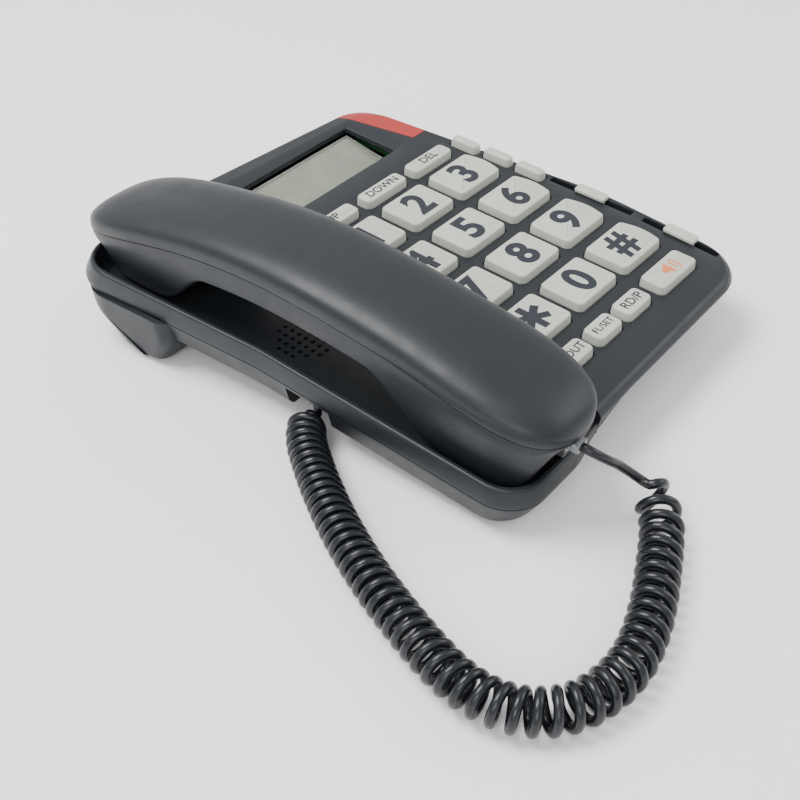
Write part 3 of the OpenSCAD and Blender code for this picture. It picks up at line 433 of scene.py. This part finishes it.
keys["key_flash"] = ("FL/SET", [grid["x"] - grid["stepX"] + 11.8, lowY, 13.6, 8.4, 0, 0])
keys["key_redial"] = ("RD/P", [grid["x"] + 2, lowY, 14.6, 8.4, 0, 0])
keys["key_speaker"] = ("", [grid["x"] + grid["stepX"] - 1.4, lowY, 22.6, 10.4, 0, 0])
for place in range(3):
    keys["key_memory_%d" % (place + 1)] = (
        "", [halfWide - 8.6 + (place > 0), halfDeep - 70.6 - 15.2 * place, 4.8, 12.6, 0, 0])


# a key's outline grown by g: straight front and back, the sides bowed where the key asks for it
def keyRing(key, g, z):
    x, y, w, d, left, right = key
    w, d = w / 2 + g, d / 2 + g
    r = min(grid["round"] + g, key[2] / 3)
    points = [[-w - left * 0.4, -d, r], [w + right * 0.4, -d, r], [w + right * 1.7, 0, 20],
              [w + right * 0.4, d, r], [-w - left * 0.4, d, r], [-w - left * 1.7, 0, 20]]
    keep = [i for i in range(6) if (i != 2 or right) and (i != 5 or left)]
    return ring(z, [points[i] for i in keep], 8) + np.array([x, y, 0])


def keyCap(name, key):
    top, bottom, low = grid["height"], -grid["flange"], -grid["flange"] - 0.8
    quarter = np.linspace(0, np.pi / 2, 7)
    crown = min(2.2, key[2] * 0.28)
    narrow = key[2] < 6  # a narrow key's foot stops short of the side wall
    foot = [keyRing(key, 0.9, low), keyRing(key, 0.9, bottom), keyRing(key, 0, bottom + 0.01)]
    rings = ([keyRing(key, 0, -1.6)] if narrow else foot) + [keyRing(key, 0, 0.2)]
    rings += [keyRing(key, -0.3 - 0.75 * (1 - np.cos(a)), 2.05 + 0.78 * np.sin(a)) for a in quarter]
    rings += [keyRing(key, -1.05 - crown * 0.4, top - 0.09), keyRing(key, -1.05 - crown * 0.55, top)]
    x, y, w, d = key[:4]
    stem = [block((x - w / 2 + 0.3, y - d / 2 + 0.3, low), (x + w / 2 - 1.9, y + d / 2 - 0.3, -1.5))]
    cap = lofts(name, [rings] + stem * narrow, angle=40)
    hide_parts(name.replace("cap", "key", 1))
    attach(cap, name.replace("cap", "key", 1))
    return cap


caps = [keyCap(name.replace("key", "cap", 1), key) for name, (word, key) in keys.items()]


# text or a flat outline pressed flat on a key: its middle at (x, y), its top just over the key
def flatten(item, x, y, z, wide=None, tall=None):
    mesh = bpy.data.meshes.new_from_object(item)
    points = np.empty(len(mesh.vertices) * 3)
    mesh.vertices.foreach_get("co", points)
    points = points.reshape(-1, 3)
    low, high = points.min(0), points.max(0)
    scale = min(tall / (high[1] - low[1]), (wide or 1e9) / (high[0] - low[0]))
    points = (points - (low + high) / 2) * [scale, scale, 1]
    points[:, 2] = z + np.where(points[:, 2] > 0, 0.06, -0.12)
    mesh.vertices.foreach_set("co", toRoom(points + [x, y, 0]).ravel())
    mesh.update()
    flat = bpy.data.objects.new(item.name + "Mesh", mesh)
    bpy.context.collection.objects.link(flat)
    bpy.data.objects.remove(item, do_unlink=True)
    return flat


def letters(name, word, x, y, z, tall, wide, weight):
    data = bpy.data.curves.new(name, "FONT")
    data.body, data.size, data.extrude, data.offset = word, 10, 0.1, weight
    data.resolution_u = 6
    item = bpy.data.objects.new(name, data)
    bpy.context.collection.objects.link(item)
    return flatten(item, x, y, z, wide, tall)


# a six-armed star: arm corners at radius r and half width h, inner corners at 2 h between the arms
def starShape(name, x, y, z, reach, half):
    turn = np.radians(30 + 60 * np.arange(6))
    along = np.stack([np.cos(turn), np.sin(turn)], -1)
    across = np.stack([-np.sin(turn), np.cos(turn)], -1)
    between = np.stack([np.cos(turn + np.pi / 6), np.sin(turn + np.pi / 6)], -1)
    arm = np.stack([reach * along - half * across, reach * along + half * across, 2 * half * between], 1)
    flat = arm.reshape(-1, 2)
    rings = [np.column_stack([flat + [x, y], np.full(len(flat), h)]) for h in (z - 0.12, z + 0.03)]
    return loft(name, rings)


inks = []
for name, (word, key) in keys.items():
    x, y, w, d = key[:4]
    z = grid["height"]
    if word == "*":
        ink = starShape("ink" + name[3:], x, y, z, 6.4, 1.45)
    elif len(word) == 1:
        ink = letters("ink" + name[3:], word, x, y, z, 13.2, 15, 0.36)
    elif word:
        ink = letters("ink" + name[3:], word, x, y, z, 3.5, w * 0.72, 0.1)
    else:
        continue
    ink.name = "ink" + name[3:]
    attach(ink, name)
    inks.append(ink)

# the loudspeaker sign: a cone in outline, and two arcs of sound beside it
speakerKey = keys["key_speaker"][1]
cone = np.array([[-3.4, -1.2], [-1.8, -1.2], [0.6, -3.2], [0.6, 3.2], [-1.8, 1.2], [-3.4, 1.2]])
signParts = [[np.column_stack([cone + speakerKey[:2], np.full(6, grid["height"] + h)]) for h in (-0.12, 0.03)]]
for radius in (2.6, 4.4):
    a = np.radians(np.linspace(-42, 42, 13))
    arc = np.vstack([np.stack([(radius + 0.38) * np.cos(a), (radius + 0.38) * np.sin(a)], -1),
                     np.stack([(radius - 0.38) * np.cos(a[::-1]), (radius - 0.38) * np.sin(a[::-1])], -1)])
    signParts.append([np.column_stack([arc + speakerKey[:2], np.full(26, grid["height"] + h)])
                      for h in (-0.12, 0.03)])
speakerSign = lofts("speakerSign", signParts)
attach(speakerSign, "key_speaker")
print("keys:", len(caps))


# ---- slide switches ----
slides = {"x": halfWide - 5.4, "slot": 3, "knob": 13,
          "at": ((0, -28.5, 36, 0), (-1.4, -halfDeep + 31.5, 32, 3.5))}  # shift, middle, length, turn


# points of a switch's own frame turned about Z and moved to its slot
def atSlide(points, index):
    dx, y, _, turn = slides["at"][index]
    c, s = np.cos(np.radians(-turn)), np.sin(np.radians(-turn))
    points = np.asarray(points, float)
    out = points.copy()
    out[..., 0] = points[..., 0] * c - points[..., 1] * s + slides["x"] + dx
    out[..., 1] = points[..., 0] * s + points[..., 1] * c + y
    return out


# a wedge knob: its plan is a rounded box, its top falls from the outer edge to the inner one
def knob(name, index, node):
    half, long = 2.1, slides["knob"] / 2
    plan = lambda g: np.array([[-half + g, -long + g, 0.7], [half - g, -long + g, 0.7],
                               [half - g, long - g, 0.7], [-half + g, long - g, 0.7]])
    cap = [ring(0.3, plan(0.1), 5), ring(0.9, plan(0), 5)]
    for g, h in ((0.05, 1.75), (0.25, 2.05), (0.6, 2.2)):
        level = ring(h, plan(g), 5)
        level[:, 2] -= 0.5 * (half - level[:, 0]) / (2 * half)
        cap.append(level)
    stem = slides["slot"] / 2 - 0.3
    parts = [atSlide(cap, index), atSlide(block((-stem, -long + 1, -4.4), (stem, long - 1, 0.6)), index)]
    item = lofts(name, parts, angle=40)
    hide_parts(node)
    return item


for node, index in (("ringer_slider", 0), ("volume_slider", 1)):
    item = knob(node.replace("_slider", "Knob"), index, node)
    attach(item, node)


# ---- base shells ----
def lampArea(z, g):
    edge = np.array([[halfWide - 16.6 - g, halfDeep - 50.1 - g], [halfWide + 18.5, halfDeep - 50.6 - g],
                     [halfWide + 13, halfDeep + 10], [halfWide - 27 - g, halfDeep + 2]])
    return np.column_stack([edge, np.full(4, z)])


def lampSeat(name, g):
    return loft(name, [lampArea(-base["rim"] - 0.6 - g, g), lampArea(2, g)])


window = {"x": halfWide - 28.5 - 33, "y": halfDeep - 37.5, "wide": 66, "deep": 26, "low": 6, "lean": 8}
posts = [(cradleRight + 3.2, -halfDeep + 30), (cradleRight + 3.2, halfDeep - 15.5),
         (halfWide - 20, halfDeep - 56.7), (grid["x"] + 11.4, grid["y"] - grid["depth"] / 2 - 3.3)]
speaker = {"x": handsetX, "y": 7, "pitch": 3.2, "hole": 0.8}
hook = {"x": handsetX - 1, "y": halfDeep - 37, "hole": 4.0}
notch = {"y": -14, "wide": 19, "top": cradle["depth"] + 1, "right": leftSide + 12}


# the lip beside the cradle: the outer skin up to the lip, its edge turned in over a quarter round
def lipBody(name):
    at = lambda z: splitEdge + (rimEdge - splitEdge) * (z + base["split"]) / (base["split"] - base["rim"])
    r, top = cradle["lipRound"], -cradle["lipDepth"]
    levels = [ring(-base["floor"], inset(footEdge, 2)), ring(-base["floor"] + 2, footEdge),
              ring(-base["split"], splitEdge), ring(top - r, at(top - r))]
    levels = list(softened(levels, [0, 1.4, 2.2, 0]))
    for a in np.linspace(0, np.pi / 2, 6)[1:]:
        z = top - r + r * np.sin(a)
        levels.append(ring(z, inset(at(z), r * (1 - np.cos(a)))))
    side = loft(name, levels, angle=24)
    reach = base["depth"]
    keep = boxSolid(name + "Keep", (-reach, -reach, -60), (cradleRight - 0.3, reach, 60))
    return combine(side, keep, "INTERSECT")


def outerBody(name):
    plate = envelope(name)
    reach = base["depth"]
    cut = boxSolid(name + "Cut", (-reach, -reach, -cradle["lipDepth"] - 8), (cradleRight - 0.3, reach, 60))
    combine(plate, cut)
    return combine(plate, lipBody(name + "Lip"), "UNION")


def roundedKeyHole(key):
    gap = grid["gap"]
    quarter = np.linspace(0, np.pi / 2, 6)
    rings = [keyRing(key, gap, -4)]
    rings += [keyRing(key, gap + 0.45 * (1 - np.cos(a)), -0.45 + 0.46 * np.sin(a)) for a in quarter]
    return np.array(rings + [keyRing(key, gap + 0.46, 1)])


def slotHole(index):
    _, _, long, _ = slides["at"][index]
    half = slides["slot"] / 2
    plan = lambda g: np.array([[-half - g, -long / 2 - g, 0.5], [half + g, -long / 2 - g, 0.5],
                               [half + g, long / 2 + g, 0.5], [-half - g, long / 2 + g, 0.5]])
    return atSlide([ring(-4, plan(0), 4), ring(-0.3, plan(0), 4), ring(-0.05, plan(0.12), 4),
                    ring(0.02, plan(0.3), 4), ring(1, plan(0.3), 4)], index)


def speakerGrid():
    i, j = np.mgrid[-3:4, -3:4].reshape(2, -1)
    keep = i * i + j * j <= 10
    centres = np.stack([i[keep], j[keep]], -1) * speaker["pitch"] + [speaker["x"], speaker["y"]]
    low, r = -cradle["depth"], speaker["hole"]
    return turned(centres, [(r, low - 4), (r, low - 0.3), (r + 0.12, low - 0.08), (r + 0.3, low + 0.02),
                            (r + 0.3, low + 0.6)], 12)


def baseTop():
    shell = outerBody("baseTopShell")
    zone = combine(overSplit("zone", 0), trough("zoneTrough", base["wall"]), "UNION")
    combine(shell, zone, "INTERSECT")
    inside = combine(hollow("inside", base["wall"]), trough("keptTrough", base["wall"]))
    combine(shell, inside)
    combine(shell, trough("cradleCut", 0, cradle["lipRound"]))
    recess = np.array([ring(z, [[window["x"] - 33 - g, window["y"] - 13 - g, 1 + g],
                                [window["x"] + 33 + g, window["y"] - 13 - g, 1 + g],
                                [window["x"] + 33 + g, window["y"] + 13 + g, 1 + g],
                                [window["x"] - 33 - g, window["y"] + 13 + g, 1 + g]], 6)
                       for z, g in ((-10, 0), (-0.7, 0), (-0.35, 0.1), (-0.1, 0.35), (0.02, 0.7), (1, 0.7))])
    cuts = [roundedKeyHole(key) for _, key in keys.values()] + [slotHole(0), slotHole(1), recess]
    combine(shell, lofts("cuts", cuts))
    hookHole = turned([(hook["x"], hook["y"])],
                      [(hook["hole"], -18), (hook["hole"], -13.9), (hook["hole"] + 0.5, -13.45),
                       (hook["hole"] + 0.5, -12)], 40)
    combine(shell, lofts("holes", speakerGrid() + hookHole))
    combine(shell, lampSeat("seat", 0.15))
    shade(shell, 24)
    return shell


def lampLens():
    lens = combine(envelope("redLens"), lampSeat("lensSeat", 0), "INTERSECT")
    combine(lens, hollow("lensHollow", 1.6))
    shade(lens, 30)
    return lens


def notchBlock(g):
    left = leftSide + 3 if g else leftSide - 6
    low = -base["floor"] - (0 if g else 3)
    top = -cradle["depth"] - 2.9 if g else -notch["top"]
    return block((left, notch["y"] - notch["wide"] / 2 - g, low),
                 (notch["right"] + g, notch["y"] + notch["wide"] / 2 + g, top))


bay = {"x": 14, "wide": 46, "deep": 28, "y": hump["start"] + 22, "high": 14}
line = {"x": -38, "z": 13.5, "wide": 10, "high": 7}


def lineBlock(g):
    return block((line["x"] - line["wide"] / 2 - g, halfDeep - 24, line["z"] - line["high"] / 2 - g),
                 (line["x"] + line["wide"] / 2 + g, halfDeep + (-4 if g else 16),
                  line["z"] + line["high"] / 2 + g))


def baseBottom():
    shell = outerBody("baseBottomShell")
    combine(shell, humpSolid("hump", 0), "UNION")
    combine(shell, overSplit("over", -0.4))
    combine(shell, trough("under", base["wall"] + 0.25))
    inside = combine(hollow("insideLow", base["wall"]), humpSolid("humpLow", base["wall"]), "UNION")
    low = -base["floor"]
    combine(inside, lofts("notchWall", [notchBlock(base["wall"])]))
    combine(inside, lofts("postWall", turned(posts, [(3.4, low - 20), (3.4, -base["split"] - 0.3)], 32)))
    combine(inside, lofts("roomWalls", [lineBlock(1.6), block(
        (bay["x"] - bay["wide"] / 2 - 1.6, bay["y"] - bay["deep"] / 2 - 1.6, hump["lift"] + 0.5),
        (bay["x"] + bay["wide"] / 2 + 1.6, bay["y"] + bay["deep"] / 2 + 1.6,
         hump["lift"] + 2.1 + bay["high"]))], standing))
    combine(shell, inside)
    keyhole = [turned([(-2, -38)], [(4.2, low - 22), (4.2, low + 3.8)], 40)[0],
               block((-4.1, -38, low - 22), (0.1, -29, low + 3.8)),
               turned([(-2, -29)], [(2.1, low - 22), (2.1, low + 3.8)], 32)[0]]
    for part in keyhole:
        combine(shell, lofts("keyhole", [part]))
    jackHole = block((notch["right"] - 1, jackY - 5.5, jackZ - 2.8),
                     (notch["right"] + 17, jackY + 5.5, jackZ + 2.8))
    combine(shell, lofts("notchCut", [notchBlock(0)]))
    combine(shell, lofts("jackCut", [jackHole]))
    screwStep = [(2.4, low - 22), (2.4, low + 4.5), (1.3, low + 4.51), (1.3, 20)]
    combine(shell, lofts("screwHoles", turned(posts, screwStep, 32)))
    combine(shell, lofts("roomCuts", [lineBlock(0), block(
        (bay["x"] - bay["wide"] / 2, bay["y"] - bay["deep"] / 2, -1),
        (bay["x"] + bay["wide"] / 2, bay["y"] + bay["deep"] / 2, bay["high"] + hump["lift"]))], standing))
    shade(shell, 30)
    return shell


top = baseTop()
print("base top shell:", len(top.data.polygons))
bottom = baseBottom()
print("base bottom shell:", len(bottom.data.polygons))
lens = lampLens()
for item, node, slotName in ((top, "base_top_shell", "slate_plastic"),
                             (bottom, "base_bottom_shell", "slate_plastic"),
                             (lens, "lamp_lens", "red_lens")):
    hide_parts(node)
    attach(item, "base")

# ---- handset: s runs from -1 at the mouth end to 1 at the ear end ----
handset.update({"reach": (base["depth"] + handset["over"]) / 2, "stations": 140, "across": 56})
stations = np.sin(np.linspace(-1, 1, handset["stations"]) * np.pi / 2) * 0.9999


def handsetMiddle(s):
    return handsetX - handset["shift"] * smooth((s - 0.05) / 0.95)


def partingHeight(s):
    return handset["grip"] - np.where(s > -0.1, 16.4, 12.2) * (s + 0.1) ** 2


def halfWidth(s):
    return (handset["width"] / 2 + smooth((np.abs(s) - 0.4) / 0.4)) * (1 - np.abs(s) ** 10) ** 0.42


# upper shell: at each station a superellipse over a straight band, its height falling near both tips
def handsetUpper(name, d):
    s = (stations * (1 - d / handset["reach"]))[:, None]
    w = np.maximum(0.2, halfWidth(s) - d)
    h = np.maximum(0.2, handset["crown"] * (1 - np.abs(s) ** 14) ** 0.45 - d)
    z, b = partingHeight(s), np.minimum(handset["band"], h / 2)
    a = np.linspace(0, np.pi, handset["across"])[None, :]
    x = w * np.sign(np.cos(a)) * np.abs(np.cos(a)) ** 0.75
    up = z + b + (h - b) * np.sin(a) ** 0.8
    edge = np.minimum(0.4, b * 0.5)
    foot = [(w - edge, z - (2 if d else 0)), (w - 0.3 * edge, z + 0.3 * edge - (2 if d else 0)), (w, z + edge)]
    across = np.concatenate([q for q, _ in foot] + [x] + [-q for q, _ in foot[::-1]], 1)
    height = np.concatenate([q for _, q in foot] + [up] + [q for _, q in foot[::-1]], 1)
    y = np.broadcast_to(handset["middle"] + handset["reach"] * s, across.shape)
    return loft(name, np.stack([across + handsetMiddle(s), y, height], -1), angle=40)


# lower shell: a band, then a wall leaning in to the cap or the grip, with rounded turns between
def handsetLower(name, d):
    s = stations * (1 - d / handset["reach"])
    cap = smooth((np.abs(s) - 0.34) / 0.28)
    tip = np.where(s < 0, smooth((-s - 0.86) / 0.135), smooth((s - 0.8) / 0.17))
    z = partingHeight(s) - 0.3
    grip = partingHeight(s) - 9.5
    low = (grip + (-cradle["depth"] + 0.35 - grip) * cap) * (1 - tip) + (partingHeight(s) - 2.5) * tip
    w = np.maximum(0.3, halfWidth(s) - 0.3 - d)
    v = np.maximum(0.25, (halfWidth(s) - 3.2 * cap - 0.4) * 0.98 - d)
    zb = np.minimum(low + d, z - 0.5)
    r = np.minimum(2.5, (z - zb) * 0.4)
    r = np.minimum(r, v * 0.9)
    band = z - np.minimum(3, (z - zb) * 0.3)
    past = 2 if d else 0
    half = [(w, z + past), (w, band), (v, zb), (v * 0.02, zb)]
    y = handset["middle"] + handset["reach"] * s
    columns = [np.stack([q + handsetMiddle(s), y, h], -1) for q, h in half]
    mirror = [np.stack([handsetMiddle(s) - q, y, h], -1) for q, h in half[::-1]]
    right = softened(columns, [0, 1.3, 2.2, 0], 7)
    left = softened(mirror, [0, 2.2, 1.3, 0], 7)
    rings = np.moveaxis(np.concatenate([right, left]), 0, 1)
    return loft(name, rings[:, ::-1], angle=40)


handPosts = [(handsetMiddle(s), handset["middle"] + handset["reach"] * s, partingHeight(s))
             for s in (-0.42, 0.42)]
upper = combine(handsetUpper("handsetTopShell", 0), handsetUpper("upperRoom", 2))
lower = combine(handsetLower("handsetBottomShell", 0), handsetLower("lowerRoom", 2))
capZ = -cradle["depth"] + 0.35
mouthY, earY = handset["middle"] - 0.72 * handset["reach"], handset["middle"] + 0.72 * handset["reach"]
ear = handsetMiddle(0.72)
ringOfHoles = [(ear, earY)] + [(ear + 5 * np.cos(a), earY + 5 * np.sin(a))
                               for a in np.radians(range(0, 360, 60))]
mouthHoles = [(handsetX + 4 * np.sin(a), mouthY) for a in np.radians((-60, 0, 60))]
flared = lambda r: [(r + 0.3, capZ - 2), (r + 0.3, capZ - 0.02), (r, capZ + 0.3), (r, capZ + 3)]
combine(lower, lofts("soundHoles", turned(ringOfHoles, flared(1), 20) + turned(mouthHoles, flared(0.9), 20)))
screwHoles = [turned([(x, y)], [(2.6, z - 24), (2.6, z - 6.4)], 28)[0] for x, y, z in handPosts]
combine(lower, lofts("screwHoles", screwHoles + [block(
    (handsetX - 5, handJackY - 6, handJackZ - 3), (handsetX + 5, handJackY + 13.2, handJackZ + 3))]))
for item, node in ((upper, "handset_top_shell"), (lower, "handset_bottom_shell")):
    shade(item, 40)
    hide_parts(node)
    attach(item, "handset")
print("handset:", len(upper.data.polygons), len(lower.data.polygons))

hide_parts("curly_cord", "handset_lead", "base_lead")
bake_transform(curlyCord)


# ---- finishes ----
# colour: two near tones by broad noise, darkened a little by small specks; roughness: its middle value
# moved by broad noise for rubbed places; bump: fine grain over a slow waviness. Sizes in millimetres.
def finish(name, colour, rough, grain=0.5, relief=0.02, vary=0.08, rub=0.06, metal=0.0, glow=0.5,
           coat=0.0, clear=0.0, haze=1.45, wave=9.0, waveRelief=0.03, speck=0.1, alpha=1.0, ior=None):
    material = bpy.data.materials.new(name)
    material.use_nodes = True
    nodes, links = material.node_tree.nodes, material.node_tree.links
    shader = nodes["Principled BSDF"]
    place = nodes.new("ShaderNodeTexCoord").outputs["Object"]

    def noise(size, detail, rough=0.5):
        node = nodes.new("ShaderNodeTexNoise")
        node.inputs["Scale"].default_value = 1000 / size
        node.inputs["Detail"].default_value = detail
        node.inputs["Roughness"].default_value = rough
        links.new(place, node.inputs["Vector"])
        return node.outputs["Fac"]

    def spread(source, low, high, start=0.3, stop=0.7):
        node = nodes.new("ShaderNodeMapRange")
        for socket, value in zip(("From Min", "From Max", "To Min", "To Max"), (start, stop, low, high)):
            node.inputs[socket].default_value = value
        links.new(source, node.inputs["Value"])
        return node.outputs["Result"]

    broad = noise(wave * 3, 3)
    fine = noise(grain, 2, 0.6)
    ramp = nodes.new("ShaderNodeValToRGB")
    ramp.color_ramp.elements[0].position, ramp.color_ramp.elements[1].position = 0.3, 0.7
    ramp.color_ramp.elements[0].color = [c * (1 - vary) for c in colour] + [1]
    ramp.color_ramp.elements[1].color = [min(1, c * (1 + vary)) for c in colour] + [1]
    links.new(broad, ramp.inputs["Fac"])
    tint = nodes.new("ShaderNodeMix")
    tint.data_type, tint.blend_type = "RGBA", "MULTIPLY"
    tint.inputs["Factor"].default_value = 1
    links.new(ramp.outputs["Color"], tint.inputs["A"])
    dark = nodes.new("ShaderNodeCombineColor")
    shadeValue = spread(fine, 1 - speck, 1 + speck * 0.4)
    for channel in ("Red", "Green", "Blue"):
        links.new(shadeValue, dark.inputs[channel])
    links.new(dark.outputs["Color"], tint.inputs["B"])
    links.new(tint.outputs["Result"], shader.inputs["Base Color"])
    links.new(spread(noise(wave, 4), rough - rub, rough + rub), shader.inputs["Roughness"])
    first = nodes.new("ShaderNodeBump")
    first.inputs["Distance"].default_value = waveRelief / 1000
    first.inputs["Strength"].default_value = 0.6
    links.new(noise(wave, 2), first.inputs["Height"])
    second = nodes.new("ShaderNodeBump")
    second.inputs["Distance"].default_value = relief / 1000
    second.inputs["Strength"].default_value = 1
    links.new(fine, second.inputs["Height"])
    links.new(first.outputs["Normal"], second.inputs["Normal"])
    links.new(second.outputs["Normal"], shader.inputs["Normal"])
    shader.inputs["Metallic"].default_value = metal
    shader.inputs["Specular IOR Level"].default_value = glow
    shader.inputs["Coat Weight"].default_value = coat
    shader.inputs["Transmission Weight"].default_value = clear
    shader.inputs["IOR"].default_value = haze
    shader.inputs["Alpha"].default_value = alpha
    return material


finishes = {
    "slate": finish("slatePlastic", (0.0145, 0.0172, 0.021), 0.4, grain=0.55, relief=0.035, vary=0.07, rub=0.05,
                    glow=0.38),
    "key": finish("keyPlastic", (0.47, 0.485, 0.43), 0.46, grain=0.35, relief=0.01, vary=0.04, rub=0.06,
                  speck=0.04),
    "ink": finish("keyInk", (0.014, 0.018, 0.026), 0.55, grain=0.3, relief=0.006, vary=0.06),
    "sign": finish("signInk", (0.72, 0.2, 0.07), 0.5, grain=0.3, relief=0.006, vary=0.12),
    "rubber": finish("footRubber", (0.02, 0.021, 0.023), 0.75, grain=0.8, relief=0.05, vary=0.15, rub=0.08),
    "dark": finish("darkPlastic", (0.02, 0.022, 0.025), 0.45, grain=0.5, relief=0.02),
    "window": finish("windowPlastic", (0.72, 0.76, 0.68), 0.12, grain=0.6, relief=0.002, rub=0.03, clear=0.85,
                     speck=0.02, waveRelief=0.008),
    "display": finish("displayGlass", (0.35, 0.385, 0.265), 0.3, grain=0.5, relief=0.003, vary=0.05,
                      speck=0.03),
    "lens": finish("redLens", (0.4, 0.03, 0.025), 0.36, grain=0.7, relief=0.02, vary=0.06, clear=0.12),
    "lamp": finish("lampEpoxy", (0.6, 0.05, 0.03), 0.15, grain=0.8, relief=0.004, clear=0.4),
    "board": finish("boardLacquer", (0.03, 0.13, 0.05), 0.35, grain=1.6, relief=0.05, vary=0.2, speck=0.3),
    "keymat": finish("keymatRubber", (0.42, 0.43, 0.41), 0.6, grain=0.6, relief=0.02),
    "blue": finish("switchBlue", (0.03, 0.07, 0.24), 0.4, grain=0.5, relief=0.015),
    "white": finish("plungerWhite", (0.5, 0.5, 0.47), 0.45, grain=0.5, relief=0.015, speck=0.06),
    "steel": finish("dullSteel", (0.42, 0.42, 0.43), 0.36, grain=0.3, relief=0.01, metal=1.0, speck=0.2),
    "clear": finish("clearPlug", (0.75, 0.78, 0.8), 0.14, grain=0.5, relief=0.003, clear=0.75, speck=0.02),
    "sheath": finish("cordSheath", (0.006, 0.0075, 0.0105), 0.28, grain=0.5, relief=0.01, vary=0.15, rub=0.07,
                     glow=0.5, wave=5.0)}


def give(item, material):
    item.data.materials.clear()
    item.data.materials.append(material)


for item in [top, bottom, upper, lower]:
    give(item, finishes["slate"])
for item in caps + [o for o in bpy.data.objects if o.name.endswith("Knob")]:
    give(item, finishes["key"])
for item in inks:
    give(item, finishes["ink"])
give(speakerSign, finishes["sign"])
give(lens, finishes["lens"])
give(curlyCord, finishes["sheath"])
nodeFinishes = {
    "battery_door": "slate", "speaker_clamp": "slate", "rubber_feet": "rubber", "microphone_boot": "rubber",
    "display_window": "window", "display_panel": "display", "display_holder": "dark", "slide_switches": "dark",
    "base_cord_jack": "dark", "line_jack": "dark", "handset_jack": "dark", "lamp_leds": "lamp",
    "main_board": "board", "keymat": "keymat", "hook_switch": "blue", "hook_plunger": "white",
    "loudspeaker": "steel", "receiver": "steel", "microphone": "steel", "battery_contacts": "steel",
    "base_screws": "steel", "board_screws": "steel", "handset_screws": "steel", "handset_weight": "steel",
    "handset_plug": "clear", "base_plug": "clear"}
for node, word in nodeFinishes.items():
    for materialSlot in frame["nodes"][node].material_slots:
        materialSlot.material = finishes[word]
print("finishes:", len(finishes))


# ---- floor and light ----
def floorSheet(size):
    x, y = np.meshgrid([-size, size], [-size, size])
    verts = np.stack([x.ravel(), y.ravel(), np.zeros(4)], -1)
    return meshObject("floorSheet", verts, [(0, 1, 3, 2)])


floorItem = floorSheet(4)
give(floorItem, finish("floorPaper", (0.95, 0.95, 0.95), 0.9, grain=3, relief=0.02, vary=0.005, speck=0.01,
                       glow=0.1))
world = bpy.data.worlds.new("studio")
world.use_nodes = True
world.node_tree.nodes["Background"].inputs["Color"].default_value = (1, 1, 1, 1)
world.node_tree.nodes["Background"].inputs["Strength"].default_value = 1.0
bpy.context.scene.world = world


def areaLight(name, place, aim, size, power):
    data = bpy.data.lights.new(name, "AREA")
    data.shape, data.size, data.energy = "DISK", size, power
    item = bpy.data.objects.new(name, data)
    bpy.context.collection.objects.link(item)
    back = unit(np.array(place, float) - np.array(aim, float))
    side = unit(np.cross([0, 0, 1.0], back))
    turn = np.eye(4)
    turn[:3, :3] = np.array([side, np.cross(back, side), back]).T
    turn[:3, 3] = place
    item.matrix_world = [list(row) for row in turn.T]


areaLight("lightHigh", (-0.25, 0.35, 0.95), (0, 0, 0), 0.6, 13)
areaLight("lightFront", (-0.9, -0.5, 0.7), (0, 0, 0.02), 0.7, 5)
areaLight("lightRight", (0.7, -0.6, 0.6), (0, 0, 0), 0.6, 3)
